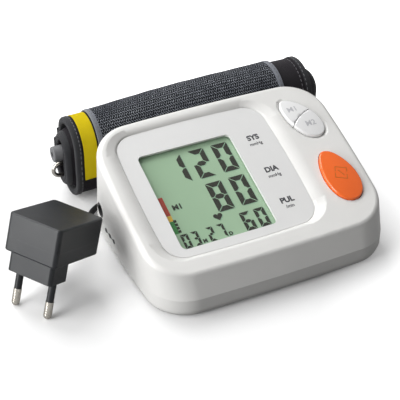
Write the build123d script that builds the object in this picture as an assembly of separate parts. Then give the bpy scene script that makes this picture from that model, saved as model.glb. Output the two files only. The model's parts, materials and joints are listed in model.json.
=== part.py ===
from build123d import *
import os
from math import cos, pi, radians, sin, sqrt, tan

# Upper arm blood pressure monitor with its rolled cuff and mains adapter, in millimetres.
# The origin is the middle of the monitor's base, on the table. +X is the user's right,
# +Y points away from the user and +Z is up. The face slopes up towards the back.

# Monitor case, as wide and deep as the battery bay and the room round it
left_room = 32.3
pump_gap = 0.8
pump_side_room = 12.0
front_room = 32.4
rear_room = 12.3
side_crown = 1.5
corner_radius = 21.0
wall = 2.2
parting_height = 10.6
band_height = 4.2
band_step = 0.5
base_round = 3.4
front_height = 20.9
face_tilt = 19.7
rim_inset = 4.9
rim_round = 3.0
lip_height = 1.4
lip_thickness = 0.9
fit_gap = 0.15
base_relief = 0.4
rest_rim = 7.0

# Face, measured along the slope from the middle of the case
face_wall = 2.4
panel_left_inset = 11.0
panel_v = 1.2
panel_width = 83.0
panel_length = 77.2
panel_crown = 1.2
panel_corner = 11.0
panel_drop = 2.0
panel_thickness = 1.4
panel_gap = 0.2
dish_left = 6.5
dish_right = 7.0
dish_front = 2.8
dish_back = 3.0
ledge_thickness = 2.0
ledge_margin = 3.0
window_left_inset = 9.2
window_front_inset = 5.0
window_width = 50.8
window_length = 57.8
window_corner = 2.6
lens_overlap = 1.3
lens_thickness = 0.8
stack_gap = 0.1
glass_thickness = 2.2
glass_side_gap = 0.2
frame_wall = 1.8
frame_sill = 1.6
strip_width = 2.0

# Buttons: egg shapes, sharper at the end nearer the back
memory_side_inset = 17.8
memory_v = 21.9
memory_length = 28.6
memory_width = 15.2
memory_turn = 24.5
start_side_inset = 16.1
start_v = -17.6
start_length = 32.0
start_width = 17.4
start_turn = 4.5
egg_taper = 0.17
split_radius = 24.4
split_side = 11.4
split_fore = 20.6
split_gap = 0.3
button_gap = 0.3
flange = 1.2
flange_thickness = 0.8
flange_gap = 0.2
memory_proud = 1.7
start_proud = 2.3
memory_dome = 100.0
start_dome = 110.0
button_round = 0.9
button_travel = 1.0
recess_margin = 2.2
recess_depth = 0.7
switch_size = 6.0
switch_height = 3.4
actuator_diameter = 3.4
switch_gap = 0.15
rear_switch_reach = 7.7
near_switch_reach = 5.7

# Board and what it carries
board_thickness = 1.6
board_corner = 2.0
board_left_inset = 9.5
board_right_inset = 7.5
board_front_inset = 14.8
board_back_inset = 16.3
board_post_clearance = 1.0
board_post_diameter = 5.0
board_post_half_pitch = 28.0
board_post_edge = 3.4
board_post_window_gap = 7.5
board_screw_diameter = 2.0
board_screw_bite = 0.2
board_screw_head_height = 1.4
board_screw_head = 3.8
board_screw_length = 4.5
sensor_size = 8.0
sensor_height = 3.6
sensor_ahead = 4.0
buzzer_diameter = 12.0
buzzer_height = 5.0
buzzer_hole = 2.0
buzzer_inset = 11.0
buzzer_v = -13.0

# Case screws
post_diameter = 7.0
post_level = 6.0
post_side_inset = 12.5
post_front_inset = 13.9
post_back_inset = 11.9
post_pump_inset = 18.9
screw_diameter = 2.9
screw_length = 11.0
screw_head_diameter = 5.6
screw_head_height = 2.0
screw_clearance = 0.25
thread_gap = 0.05

# Four AA cells side by side, reached from below
cell_diameter = 14.2
cell_length = 49.2
nub_diameter = 5.5
nub_length = 1.3
cell_pitch = 15.0
cell_count = 4
cell_end_room = 4.6
cell_side_room = 0.6
cell_above_door = 0.4
bay_wall = 1.5
bay_head_room = 1.2
contact_thickness = 0.4
contact_width = 9.0
contact_height = 10.0
spring_diameter = 8.0
spring_wire = 0.8
spring_turns = 3
door_thickness = 1.5
door_side = 1.6
door_end = 1.6
door_gap = 0.2
door_slide = 11.0
rail_width = 0.8
rail_thickness = 0.8
rail_rise = 0.5
grip_ribs = 3
grip_pitch = 2.6
foot_diameter = 9.0
foot_recess = 0.9
foot_side_inset = 18.5
foot_front_inset = 25.9
foot_back_inset = 24.9

# Pump, valve and air line
pump_diameter = 22.0
pump_rear_room = 8.9
motor_length = 26.0
head_length = 13.0
shaft_boss = 7.0
cradle_rib = 2.0
cradle_height = 9.0
cradle_gap = 0.15
valve_side_inset = 16.5
valve_width = 12.0
valve_length = 18.0
valve_height = 12.0
valve_rear_room = 29.9
valve_port_setback = 14.0
valve_round = 1.5
tube_diameter = 4.0
air_socket_side_inset = 24.5
air_socket_diameter = 9.0
air_socket_bore_depth = 8.0
air_socket_length = 12.0
air_socket_flange = 11.6
air_socket_flange_thickness = 1.5
nipple_length = 3.0
nipple_diameter = 2.6
nipple_gap = 0.1
air_tube_height = 22.2
air_tube_setback = 5.6
tube_bend = 5.0

# Power socket in the left side
dc_socket_rear_inset = 22.4
dc_socket_height = 17.5
dc_barrel = 5.5
dc_pin = 2.1
dc_bore = 5.8
dc_collar = 8.0
dc_body_width = 9.0
dc_body_height = 11.0
dc_body_length = 10.0
dc_mouth_set = 0.6
dc_side_curve = 1.3
dc_bore_depth = 9.5
socket_rib = 1.5

# Cuff, rolled into an upright oval behind the case
roll_left = -64.5
roll_full = 5.0
roll_right = 75.0
cuff_gap_left = 7.1
cuff_gap_full = 7.5
roll_radius_left = 15.0
roll_radius_full = 18.0
roll_half_straight_left = 8.5
roll_half_straight_full = 6.0
roll_lift = 0.7
cloth = 2.6
wrap_gap = 0.4
outer_halves = 2
inner_halves = 4
inner_left = -69.0
inner_right = 84.0
binding_width = 5.5
binding_proud = 0.5
patch_gap = 0.1
band_left = -60.5
band_width = 7.5
hook_left = -50.5
hook_right = 66.0
hook_proud = 1.2

# Slide ring of the cuff and its hem
ring_wire = 2.2
ring_pitch = 7.2
ring_left = -73.0
ring_right = 80.0
ring_bar_height = 19.9
hem_left = -34.0
hem_right = 66.0
hem_cloth = 0.9
hem_gap = 0.25
hem_flap = 1.6
hem_seat_gap = 0.3

# Air plug at the left end of the roll
plug_diameter = 8.4
plug_length = 24.0
plug_left = -73.5
plug_height = 28.0
plug_ahead = 1.9
plug_neck_diameter = 5.6
plug_neck_length = 7.0
plug_bore = 3.0

# Mains adapter, standing on its two pins and leaning back
adapter_aside = 50.5
adapter_y = -11.2
adapter_heading = -56.9
adapter_lean = 21.9
pin_diameter = 4.0
pin_length = 19.0
pin_pitch = 19.0
sleeve_length = 10.0
sleeve_wall = 0.4
sleeve_relief = 0.15
pin_root = 5.0
nose_width = 25.4
nose_depth = 13.7
nose_length = 9.0
nose_round = 2.0
nose_setback = 0.4
body_left = 16.2
body_right = 13.8
body_depth = 35.5
body_lower = 7.2
body_upper = 11.8
body_round = 2.2
body_edge = 1.0
body_wall = 1.6
transformer_width = 15.0
transformer_depth = 14.0
transformer_height = 9.0
adapter_board_height = 1.6
adapter_board_gap = 0.4
relief_x = -8.0
relief_rise = 3.6
relief_length = 12.0
relief_root = 5.6
relief_tip = 4.0
relief_clear = 3.0

# Low voltage lead: the way from the adapter to the coil behind the cuff, points chosen by hand
lead_width = 3.0
lead_height = lead_width / 2
lead_straight = 9.0
lead_route = [
    (-66.6, 37.4, 4.7),
    (-63.0, 47.2, lead_height),
    (-54.6, 53.6, lead_height),
    (-38.0, 54.9, lead_height),
    (-10.0, 55.4, lead_height),
    (20.0, 55.1, lead_height),
    (45.0, 54.2, lead_height),
    (63.0, 53.9, lead_height),
    (77.0, 57.4, lead_height),
    (86.0, 67.5, lead_height),
    (88.6, 81.5, lead_height),
    (87.2, 97.0, lead_height),
    (82.0, 112.0, lead_height),
    (73.0, 126.0, lead_height),
    (62.0, 134.6, lead_height),
    (52.5, 137.6, lead_height),
]
tail_route = [
    (35.5, 136.6, 11.2),
    (23.6, 130.6, 8.0),
    (12.4, 124.4, 4.3),
    (2.6, 120.0, 4.3),
]
coil_x = 45.0
coil_y = 119.0
coil_mean_diameter = 34.0
coil_columns = 3
coil_layers = 4
tie_width = 6.0
tie_thickness = 0.6
coil_gap = 0.2
dc_plug_grip_length = 20.0
dc_plug_grip_diameter = 8.6
grip_rings = 4
grip_taper = 6.0
dc_plug_barrel_length = 9.5

bay_length = cell_length + nub_length + cell_end_room
bay_half_width = (cell_pitch * (cell_count - 1) + cell_diameter) / 2 + cell_side_room
right_room = bay_wall + pump_gap + pump_diameter + pump_side_room
case_width = left_room + 2 * bay_half_width + right_room
case_depth = front_room + bay_length + rear_room
half_width = case_width / 2
half_depth = case_depth / 2
slope = tan(radians(face_tilt))
rim_length = (case_depth - 2 * rim_inset) / cos(radians(face_tilt))
face_centre_height = front_height + case_depth / 2 * slope
face = Plane(
    origin=(0, 0, face_centre_height),
    x_dir=(1, 0, 0),
    z_dir=(0, -sin(radians(face_tilt)), cos(radians(face_tilt))),
)
case_top = face_centre_height + case_depth * slope

panel_floor = panel_drop + panel_thickness
ledge_floor = panel_floor + ledge_thickness
lens_top = panel_floor
glass_top = lens_top + lens_thickness + stack_gap
glass_floor = glass_top + glass_thickness
board_top = glass_floor + frame_sill + 0.9
board_floor = board_top + board_thickness
flange_top = face_wall + flange_gap
flange_floor = flange_top + flange_thickness
cell_x = (left_room - right_room) / 2
bay_front = front_room - half_depth
bay_back = bay_front + bay_length
panel_x = panel_left_inset + panel_width / 2 - half_width
window_x = panel_x - panel_width / 2 + window_left_inset + window_width / 2
window_v = panel_v - panel_length / 2 + window_front_inset + window_length / 2
memory_x = half_width - memory_side_inset
start_x = half_width - start_side_inset
split_x = memory_x + split_side
split_v = memory_v - split_fore
board_left = board_left_inset - half_width
board_right = half_width - board_right_inset
board_front = board_front_inset - rim_length / 2
board_back = rim_length / 2 - board_back_inset
door_floor = base_relief
door_top = door_floor + door_thickness
pocket_top = door_top + door_gap
floor_top = pocket_top + 1.6
case_floor = base_relief + 2.1
cell_height = floor_top - 1.6 + cell_above_door + cell_diameter / 2
bay_top = cell_height + cell_diameter / 2 + bay_head_room
parts_made = {}


def keep(name, shape):
    """Remember a finished piece under its node name."""
    parts_made[name] = shape


def soft_rectangle(width, depth, crown, corner):
    """A rectangle with slightly bowed sides and round corners."""
    x, y = width / 2, depth / 2
    cx, cy = x - crown, y - crown
    outline = [
        ThreePointArc((-cx, -cy), (0, -y), (cx, -cy)),
        ThreePointArc((cx, -cy), (x, 0), (cx, cy)),
        ThreePointArc((cx, cy), (0, y), (-cx, cy)),
        ThreePointArc((-cx, cy), (-x, 0), (-cx, -cy)),
    ]
    shape = make_face(Curve() + outline)
    return fillet(shape.vertices(), corner)


def case_outline(inset=0.0):
    return soft_rectangle(
        case_width - 2 * inset, case_depth - 2 * inset, side_crown, corner_radius - inset
    )


def rim_outline(inset=0.0):
    return soft_rectangle(
        case_width - 2 * inset, rim_length - 2 * inset, side_crown, corner_radius - inset
    )


def upper_form(inset, drop):
    """The upper case as a solid, from the parting line to the sloping face."""
    return loft([Pos(0, 0, parting_height) * case_outline(inset), face.offset(-drop) * rim_outline(inset)])


def slab(outline, top, floor):
    """A plate lying parallel to the face, between two depths below it."""
    return extrude(face.offset(-floor) * outline, amount=floor - top)


def panel_shape(grow=0.0, left=0.0, right=0.0, front=0.0, back=0.0):
    """The fascia's outline in face coordinates, grown evenly or by side."""
    width = panel_width + 2 * grow + left + right
    length = panel_length + 2 * grow + front + back
    centre = Pos(panel_x + (right - left) / 2, panel_v + (back - front) / 2)
    return centre * soft_rectangle(width, length, panel_crown, panel_corner + grow + (left + back) / 2)


def window_shape(grow=0.0):
    outline = RectangleRounded(window_width + 2 * grow, window_length + 2 * grow, window_corner + max(grow, 0))
    return Pos(window_x, window_v) * outline


def egg(length, width, turn, x, v):
    """An egg outline, its sharper end turned towards the back."""
    steps = 16
    points = []
    for step in range(steps):
        angle = 2 * pi * step / steps
        along = length / 2 * cos(angle)
        across = width / 2 * sin(angle) * (1 - egg_taper * cos(angle))
        points.append((across, along))
    outline = make_face(Curve() + Spline(points, periodic=True))
    return Pos(x, v) * Rot(0, 0, turn) * outline


def memory_shape(grow=0.0):
    return egg(memory_length + 2 * grow, memory_width + 2 * grow, memory_turn, memory_x, memory_v)


def start_shape(grow=0.0):
    return egg(start_length + 2 * grow, start_width + 2 * grow, start_turn, start_x, start_v)


def box_between(low, high):
    """A box given by its lowest and highest corners."""
    size = [high[i] - low[i] for i in range(3)]
    return Pos(*low) * Box(*size, align=(Align.MIN, Align.MIN, Align.MIN))


def upright(diameter, x, y, low, high):
    return Pos(x, y, low) * Cylinder(diameter / 2, high - low, align=(Align.CENTER, Align.CENTER, Align.MIN))


def along_y(diameter, x, z, front, back):
    """A cylinder lying along Y."""
    return Pos(x, (front + back) / 2, z) * Rot(90, 0, 0) * Cylinder(diameter / 2, back - front)


def along_x(diameter, y, z, left, right):
    """A cylinder lying along X."""
    return Pos((left + right) / 2, y, z) * Rot(0, 90, 0) * Cylinder(diameter / 2, right - left)


bay_left = cell_x - bay_half_width
bay_right = cell_x + bay_half_width
pump_x = bay_right + bay_wall + pump_gap + pump_diameter / 2
post_half_width = half_width - post_side_inset
post_front = post_front_inset - half_depth
post_places = [
    (-post_half_width, post_front),
    (post_half_width, post_front),
    (-post_half_width, half_depth - post_back_inset),
    (pump_x + (pump_diameter + post_diameter) / 2, half_depth - post_pump_inset),
]
foot_x = half_width - foot_side_inset
foot_places = [
    (side * foot_x, y)
    for side in (-1, 1)
    for y in (foot_front_inset - half_depth, half_depth - foot_back_inset)
]
board_posts = [
    (x, v)
    for x in (board_left + board_post_edge, window_x + window_width / 2 + board_post_window_gap)
    for v in (-board_post_half_pitch, board_post_half_pitch)
]
cell_places = [cell_x + (i - (cell_count - 1) / 2) * cell_pitch for i in range(cell_count)]
pump_height = case_floor + cradle_gap + pump_diameter / 2
dc_left = -case_width / 2 + dc_side_curve + wall + fit_gap
screw_seat = base_relief + screw_head_height + 0.4
rear_height = face_centre_height + rim_length / 2 * sin(radians(face_tilt))
rear_lean = rim_inset / (rear_height - parting_height)
air_socket_mouth = case_depth / 2 - rear_lean * (air_tube_height - parting_height)
air_socket_back = air_socket_mouth - air_socket_length
air_socket_x = air_socket_side_inset - half_width
air_tube_y = air_socket_back - air_tube_setback
motor_front = half_depth - pump_rear_room - head_length - motor_length
valve_x = valve_side_inset - half_width
valve_front = half_depth - valve_rear_room - valve_length
valve_port_y = valve_front + valve_port_setback
sensor_v = valve_port_y - sensor_ahead
buzzer_x = board_left + buzzer_inset
dc_socket_y = half_depth - dc_socket_rear_inset
roll_y_left = half_depth + cuff_gap_left + roll_radius_left
roll_y_full = half_depth + cuff_gap_full + roll_radius_full
ring_y = roll_y_left
plug_y = roll_y_left - plug_ahead
tube_bore = nipple_diameter + 2 * nipple_gap
air_socket_bore = plug_neck_diameter + 2 * nipple_gap
valve_top = case_floor + valve_height
pump_face = pump_x - pump_diameter / 2 + 0.5


def make_top_shell():
    """Upper case: leaning walls, a sloping face dished round the fascia, and posts inside."""
    outer = upper_form(0, 0)
    top_face = outer.faces().sort_by(Axis((0, 0, 0), face.z_dir))[-1]
    outer = fillet(top_face.edges(), rim_round)
    inner = upper_form(wall, face_wall)
    shell = outer - inner
    shell += slab(panel_shape(ledge_margin), face_wall - 0.6, ledge_floor)
    dish = loft([
        face.offset(-panel_drop) * panel_shape(panel_gap),
        face * panel_shape(panel_gap, dish_left, dish_right, dish_front, dish_back),
    ])
    shell -= dish
    shell -= slab(panel_shape(panel_gap), panel_drop - 0.5, panel_floor)
    shell -= slab(window_shape(lens_overlap + glass_side_gap), 0, ledge_floor + 1)
    shell -= loft([
        face.offset(-recess_depth) * memory_shape(button_gap),
        face.offset(0.2) * memory_shape(recess_margin),
    ])
    shell -= slab(memory_shape(button_gap), -1, face_wall + 1)
    shell -= slab(start_shape(button_gap), -1, face_wall + 1)
    for x, y in post_places:
        column = upright(post_diameter, x, y, parting_height - 1, case_top)
        shell += column & inner
        shell += upright(post_diameter, x, y, post_level, parting_height + 1) & (
            inner + upright(post_diameter, x, y, post_level, parting_height)
        )
        shell -= upright(screw_diameter + 2 * thread_gap, x, y, post_level - 1, post_level + screw_length)
    for x, v in board_posts:
        shell += face.location * Pos(x, v, -(ledge_floor + board_top) / 2) * Cylinder(
            board_post_diameter / 2, board_top - ledge_floor
        )
        shell -= face.location * Pos(x, v, -board_top) * Cylinder(
            board_screw_diameter / 2 - board_screw_bite, 2 * (board_top - ledge_floor) - 1
        )
    shell -= along_x(dc_collar + 2 * fit_gap, dc_socket_y, dc_socket_height, -case_width / 2 - 1, -case_width / 2 + 5)
    shell -= along_y(
        air_socket_diameter + 2 * fit_gap, air_socket_x, air_tube_height, case_depth / 2 - 8, case_depth / 2 + 1
    )
    return shell


def lip_ring(inset):
    """The space inside the case wall at the parting line, as far as the locating lip reaches."""
    below = extrude(Pos(0, 0, parting_height - lip_height) * case_outline(inset), lip_height)
    above = upper_form(inset, face_wall) & box_between(
        (-case_width, -case_depth, parting_height), (case_width, case_depth, parting_height + lip_height)
    )
    return below + above


def make_bottom_shell():
    """Lower case: stepped wall, locating lip, battery bay, door track, cradles and screw seats."""
    tray = extrude(case_outline(band_step), band_height)
    tray = fillet(tray.faces().sort_by(Axis.Z)[0].edges(), base_round)
    shell = tray + extrude(Pos(0, 0, band_height) * case_outline(), parting_height - band_height)
    shell -= extrude(Pos(0, 0, case_floor) * case_outline(wall + band_step), parting_height)
    shell += lip_ring(wall + fit_gap) - lip_ring(wall + fit_gap + lip_thickness)
    shell -= extrude(case_outline(base_round + rest_rim), base_relief)
    bay = box_between(
        (bay_left - bay_wall, bay_front - bay_wall, pocket_top),
        (bay_right + bay_wall, bay_back + bay_wall, bay_top + bay_wall),
    )
    track = box_between(
        (bay_left - door_side - 2, bay_front - door_end - door_slide - 4, base_relief + 0.4),
        (bay_right + door_side + 2, bay_back + door_end + 2, floor_top),
    )
    shell += bay + track
    shell -= box_between((bay_left, bay_front, -1), (bay_right, bay_back, bay_top))
    shell -= box_between(
        (bay_left - door_side - fit_gap, bay_front - door_end - door_slide - 1, -1),
        (bay_right + door_side + fit_gap, bay_back + door_end + fit_gap, pocket_top),
    )
    groove_low = door_floor + rail_rise - fit_gap
    shell -= box_between(
        (bay_left - door_side - rail_width - fit_gap, bay_front - door_end - door_slide - 1, groove_low),
        (bay_right + door_side + rail_width + fit_gap, bay_back + door_end + fit_gap, pocket_top),
    )
    for x, y in post_places:
        shell += upright(post_diameter, x, y, case_floor - 1, post_level) & extrude(case_outline(1), post_level)
        shell -= upright(screw_diameter + 2 * screw_clearance, x, y, -1, post_level + 1)
        shell -= upright(screw_head_diameter + 2 * screw_clearance, x, y, -1, screw_seat)
    for x, y in foot_places:
        shell -= upright(foot_diameter + 2 * fit_gap, x, y, -1, foot_recess)
    for y in (motor_front + 5, motor_front + motor_length - 5):
        rib = box_between(
            (pump_x - pump_diameter / 2, y - cradle_rib / 2, case_floor - 0.5),
            (pump_x + pump_diameter / 2, y + cradle_rib / 2, cradle_height),
        )
        shell += rib - along_y(pump_diameter + 2 * cradle_gap, pump_x, pump_height, y - 5, y + 5)
    for y in (dc_socket_y - dc_body_width / 2, dc_socket_y + dc_body_width / 2 - socket_rib):
        shell += box_between(
            (dc_left + 1, y, case_floor - 0.5),
            (dc_left + dc_body_length - 1, y + socket_rib, dc_socket_height - dc_body_height / 2),
        )
    for x in (valve_x - valve_width / 2 - 1.2, valve_x + valve_width / 2 + 0.2):
        shell += box_between((x, valve_front + 4, case_floor - 0.5), (x + 1.0, valve_front + 12, case_floor + 6))
    return shell


def make_button(outline, x, v, proud, dome):
    """A cap with a domed, rounded top and a flange that keeps it under the face."""
    cap = slab(outline(0.0), -proud, flange_floor)
    cap &= face.location * Pos(x, v, proud - dome) * Sphere(dome)
    top_face = cap.faces().sort_by(Axis((0, 0, 0), face.z_dir))[-1]
    cap = fillet(top_face.edges(), button_round)
    return cap + slab(outline(flange), flange_top, flange_floor)


def make_memory_buttons():
    """Two caps that share one egg-shaped hole, parted along an arc."""
    caps = make_button(memory_shape, memory_x, memory_v, memory_proud, memory_dome)
    depth = flange_floor + 1

    def divider(radius):
        disc = Cylinder(radius, 2 * depth)
        return face.location * Pos(split_x, split_v, 0) * disc

    rear = caps - divider(split_radius + split_gap / 2)
    near = caps & divider(split_radius - split_gap / 2)
    return rear, near


def make_switch(x, v):
    """A tact switch with its round actuator just under the cap."""
    low = Pos(x, v, -board_top + switch_height / 2) * Box(switch_size, switch_size, switch_height)
    reach = board_top - switch_height - flange_floor - button_travel - switch_gap
    top = Pos(x, v, -board_top + switch_height + reach / 2) * Cylinder(actuator_diameter / 2, reach)
    return face.location * (low + top)


def make_board():
    """The main board lies parallel to the face, notched round the case posts."""
    outline = Pos((board_left + board_right) / 2, (board_front + board_back) / 2) * RectangleRounded(
        board_right - board_left, board_back - board_front, board_corner
    )
    board = slab(outline, board_top, board_floor)
    for x, y in post_places:
        board -= upright(post_diameter + 2 * board_post_clearance, x, y, 0, case_top)
    for x, v in board_posts:
        board -= face.location * Pos(x, v, -board_floor) * Cylinder(board_screw_diameter / 2 + 0.1, 8)
    return board


def make_cell(x, reverse):
    """One AA cell along Y, with its raised positive nub."""
    front = bay_front + contact_thickness + 0.2
    if reverse:
        body_front = front + nub_length
        nub = along_y(nub_diameter, x, cell_height, front, body_front + 0.5)
    else:
        body_front = bay_back - contact_thickness - 0.2 - nub_length - cell_length
        nub = along_y(nub_diameter, x, cell_height, body_front + cell_length - 0.5, body_front + cell_length + nub_length)
    return along_y(cell_diameter, x, cell_height, body_front, body_front + cell_length) + nub


def make_spring(x, reverse):
    """A conical battery spring, from its contact plate to the flat end of the cell."""
    room = cell_end_room - 2 * contact_thickness - 0.4
    wall_y = bay_back - contact_thickness if reverse else bay_front + contact_thickness
    side = -1 if reverse else 1
    turns = []
    for turn in range(spring_turns):
        radius = spring_diameter / 2 - turn * 0.8
        y = wall_y + side * (spring_wire / 2 + turn * (room - spring_wire) / (spring_turns - 1))
        turns.append(Pos(x, y, cell_height) * Rot(90, 0, 0) * Torus(radius, spring_wire / 2))
    link = box_between(
        (x - 0.3, min(wall_y, wall_y + side * room), cell_height + spring_diameter / 2 - 1.9),
        (x + 0.3, max(wall_y, wall_y + side * room), cell_height + spring_diameter / 2 + 0.2),
    )
    spring = turns[0] + link
    for turn in turns[1:]:
        spring += turn
    return spring


def make_door():
    """Battery door: a plate with side rails that run in the track, and finger ribs."""
    low = (bay_left - door_side, bay_front - door_end, door_floor)
    high = (bay_right + door_side, bay_back + door_end, door_top)
    door = box_between(low, high)
    door += box_between(
        (low[0] - rail_width, low[1] + 2, door_floor + rail_rise),
        (high[0] + rail_width, high[1] - 4, door_floor + rail_rise + rail_thickness),
    )
    for rib in range(grip_ribs):
        y = low[1] + 4 + rib * grip_pitch
        door -= box_between((cell_x - 11, y, -1), (cell_x + 11, y + 1.0, door_floor + 0.4))
    return door


def roll_sizes(x):
    """Middle, outer radius and half straight height of the oval roll at a place along it."""
    share = min(max((x - roll_left) / (roll_full - roll_left), -0.1), 1.0)
    middle = roll_y_left + (roll_y_full - roll_y_left) * share
    radius = roll_radius_left + (roll_radius_full - roll_radius_left) * share
    half = roll_half_straight_left + (roll_half_straight_full - roll_half_straight_left) * share
    return middle, radius, half


half_pitch = (cloth + wrap_gap) / 2


def roll_chain(x, first, last, grow, head, tail):
    """Edges of the wound cloth at one place: half turns joined by upright runs."""
    middle, radius, half = roll_sizes(x)
    low_z = radius + roll_lift
    high_z = low_z + 2 * half
    edges = []
    for turn in range(first, last):
        below = turn % 2 == 0
        centre = middle if below else middle - half_pitch
        reach = radius - turn * half_pitch + grow
        side = 1 if below else -1
        level = low_z if below else high_z
        start = (x, centre + side * reach, level)
        end = (x, centre - side * reach, level)
        peak = (x, centre, level - side * reach)
        other = high_z if below else low_z
        if turn == first and head:
            edges.append(Line((x, start[1], other), start))
        edges.append(ThreePointArc(start, peak, end))
        if turn < last - 1 or tail:
            edges.append(Line(end, (x, end[1], other)))
    return edges


def roll_face(x, first, last, outer_grow, inner_grow, head, tail):
    outer = roll_chain(x, first, last, outer_grow, head, tail)
    inner = roll_chain(x, first, last, inner_grow, head, tail)
    caps = [Line(outer[0] @ 0, inner[0] @ 0), Line(outer[-1] @ 1, inner[-1] @ 1)]
    return make_face(Curve() + outer + inner + caps)


def roll_layer(left, right, first, last, outer_grow, inner_grow, head=False, tail=False):
    """A stretch of the wound cloth between two places, following the roll's taper."""
    places = [left, right]
    if left < roll_full < right:
        places = [left, roll_full, right]
    layers = []
    for near, far in zip(places[:-1], places[1:]):
        faces = [roll_face(x, first, last, outer_grow, inner_grow, head, tail) for x in (near, far)]
        layers.append(loft(faces, ruled=True))
    whole = layers[0]
    for layer in layers[1:]:
        whole += layer
    return whole


def make_ring():
    """The cuff's wire ring: a long loop, its upper bar held in the hem."""
    low = ring_bar_height - ring_pitch
    bars = along_x(ring_wire, ring_y, ring_bar_height, ring_left + ring_pitch / 2, ring_right - ring_pitch / 2)
    bars += along_x(ring_wire, ring_y, low, ring_left + ring_pitch / 2, ring_right - ring_pitch / 2)
    for x, turn in ((ring_left + ring_pitch / 2, 180), (ring_right - ring_pitch / 2, 0)):
        bend = Torus(ring_pitch / 2, ring_wire / 2)
        half = Pos(ring_pitch / 2 + ring_wire, 0, 0) * Box(ring_pitch + 2 * ring_wire, 4 * ring_pitch, 4 * ring_wire)
        place = Pos(x, ring_y, (ring_bar_height + low) / 2) * Rot(90, 0, 0) * Rot(0, 0, turn)
        bars += place * (bend & half)
    return bars


def make_hem():
    """The cloth loop round the ring's upper bar, with its flap on the innermost turn."""
    bore = ring_wire + 2 * hem_gap
    outside = bore + 2 * hem_cloth
    hem = along_x(outside, ring_y, ring_bar_height, hem_left, hem_right)
    middle, radius, _ = roll_sizes(roll_full)
    wall_y = middle - (radius - (outer_halves + inner_halves - 2) * half_pitch - cloth) + hem_seat_gap
    hem += box_between(
        (hem_left, wall_y, ring_bar_height - hem_flap / 2),
        (hem_right, ring_y, ring_bar_height + hem_flap / 2),
    )
    return hem - along_x(bore, ring_y, ring_bar_height, hem_left - 1, hem_right + 1)


def adapter_place(x, y, z):
    return adapter_frame.location * Pos(x, y, z)


heading = radians(adapter_heading)
lean = radians(adapter_lean)
adapter_frame = Plane(
    origin=(-half_width - adapter_aside, adapter_y, pin_diameter / 2),
    x_dir=(cos(heading), sin(heading), 0),
    z_dir=(-sin(heading) * sin(lean), cos(heading) * sin(lean), cos(lean)),
)
sleeve_diameter = pin_diameter - 2 * sleeve_relief
nose_low = pin_length - pin_diameter / 2
body_low = nose_low + nose_length
body_split = body_low + body_lower
body_high = body_split + body_upper
body_front = -nose_depth / 2 - nose_setback
body_back = body_front + body_depth
relief_height = body_low + relief_rise


def adapter_box(low, high):
    return adapter_frame.location * box_between(low, high)


def rounded_case(low_z, high_z, round_low):
    """One half of the adapter's housing, its free edges rounded."""
    block = box_between((-body_left, body_front, low_z), (body_right, body_back, high_z))
    block = fillet(block.edges().filter_by(Axis.Z), body_round)
    free = block.faces().sort_by(Axis.Z)[0 if round_low else -1]
    return fillet(free.edges(), body_edge)


def make_adapter_cases():
    upper = rounded_case(body_split, body_high, False)
    upper -= box_between(
        (-body_left + body_wall, body_front + body_wall, body_split - 1),
        (body_right - body_wall, body_back - body_wall, body_high - body_wall),
    )
    lower = rounded_case(body_low, body_split, True)
    nose = box_between(
        (-nose_width / 2, -nose_depth / 2, nose_low), (nose_width / 2, nose_depth / 2, body_low + 1)
    )
    lower += fillet(nose.edges().filter_by(Axis.Z), nose_round)
    lower -= box_between(
        (-body_left + body_wall, body_front + body_wall, body_low + body_wall),
        (body_right - body_wall, body_back - body_wall, body_split + 1),
    )
    for side in (-1, 1):
        lower -= upright(sleeve_diameter, side * pin_pitch / 2, 0, nose_low - 1, nose_low + pin_root)
    lower -= along_y(relief_root, relief_x, relief_height, body_back - body_wall - 1, body_back + 1)
    return adapter_frame.location * upper, adapter_frame.location * lower


def make_pins():
    """Two round pins: bright tips, and a thinner root inside the insulating sleeves."""
    pins, sleeves = [], []
    bright = pin_length - sleeve_length - pin_diameter / 2
    for side in (-1, 1):
        x = side * pin_pitch / 2
        tip = Pos(x, 0, 0) * Sphere(pin_diameter / 2) + upright(pin_diameter, x, 0, 0, bright)
        root = upright(sleeve_diameter - 2 * sleeve_wall, x, 0, 0, nose_low + pin_root)
        pins.append(adapter_frame.location * (tip + root))
        sleeve = upright(sleeve_diameter, x, 0, bright, nose_low + pin_root)
        sleeve -= upright(sleeve_diameter - 2 * sleeve_wall, x, 0, bright - 1, nose_low + pin_root + 1)
        sleeves.append(adapter_frame.location * sleeve)
    return pins, sleeves


def make_relief():
    """Tapered, ribbed strain relief on the adapter's back face."""
    cone = Pos(relief_x, body_back, relief_height) * Rot(-90, 0, 0) * Cone(
        relief_root / 2, relief_tip / 2, relief_length, align=(Align.CENTER, Align.CENTER, Align.MIN)
    )
    cone += along_y(relief_root - 0.2, relief_x, relief_height, body_back - body_wall, body_back + 0.1)
    for ring in range(4):
        y = body_back + 2.2 + ring * 2.2
        cone -= along_y(2 * relief_root, relief_x, relief_height, y, y + 0.8) - along_y(
            relief_tip - 0.6, relief_x, relief_height, y - 1, y + 2
        )
    return adapter_frame.location * cone


relief_end = adapter_frame.from_local_coords((relief_x, body_back + relief_length, relief_height))
lead_first = adapter_frame.from_local_coords((relief_x, body_back + relief_length + lead_straight, relief_height))
print("lead starts", tuple(relief_end), tuple(lead_first))


def lead_path(points):
    """Straight runs joined by tangent arcs, each arc as large as its two runs allow."""
    corners = [Vector(*point) for point in points]
    radii = []
    for before, corner, after in zip(corners, corners[1:], corners[2:]):
        turn = radians((corner - before).get_angle(after - corner))
        shorter = min((corner - before).length, (after - corner).length)
        radii.append(0.45 * shorter / tan(turn / 2))
    print("lead radii", [round(radius, 1) for radius in radii])
    return FilletPolyline(*corners, radius=radii)


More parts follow.
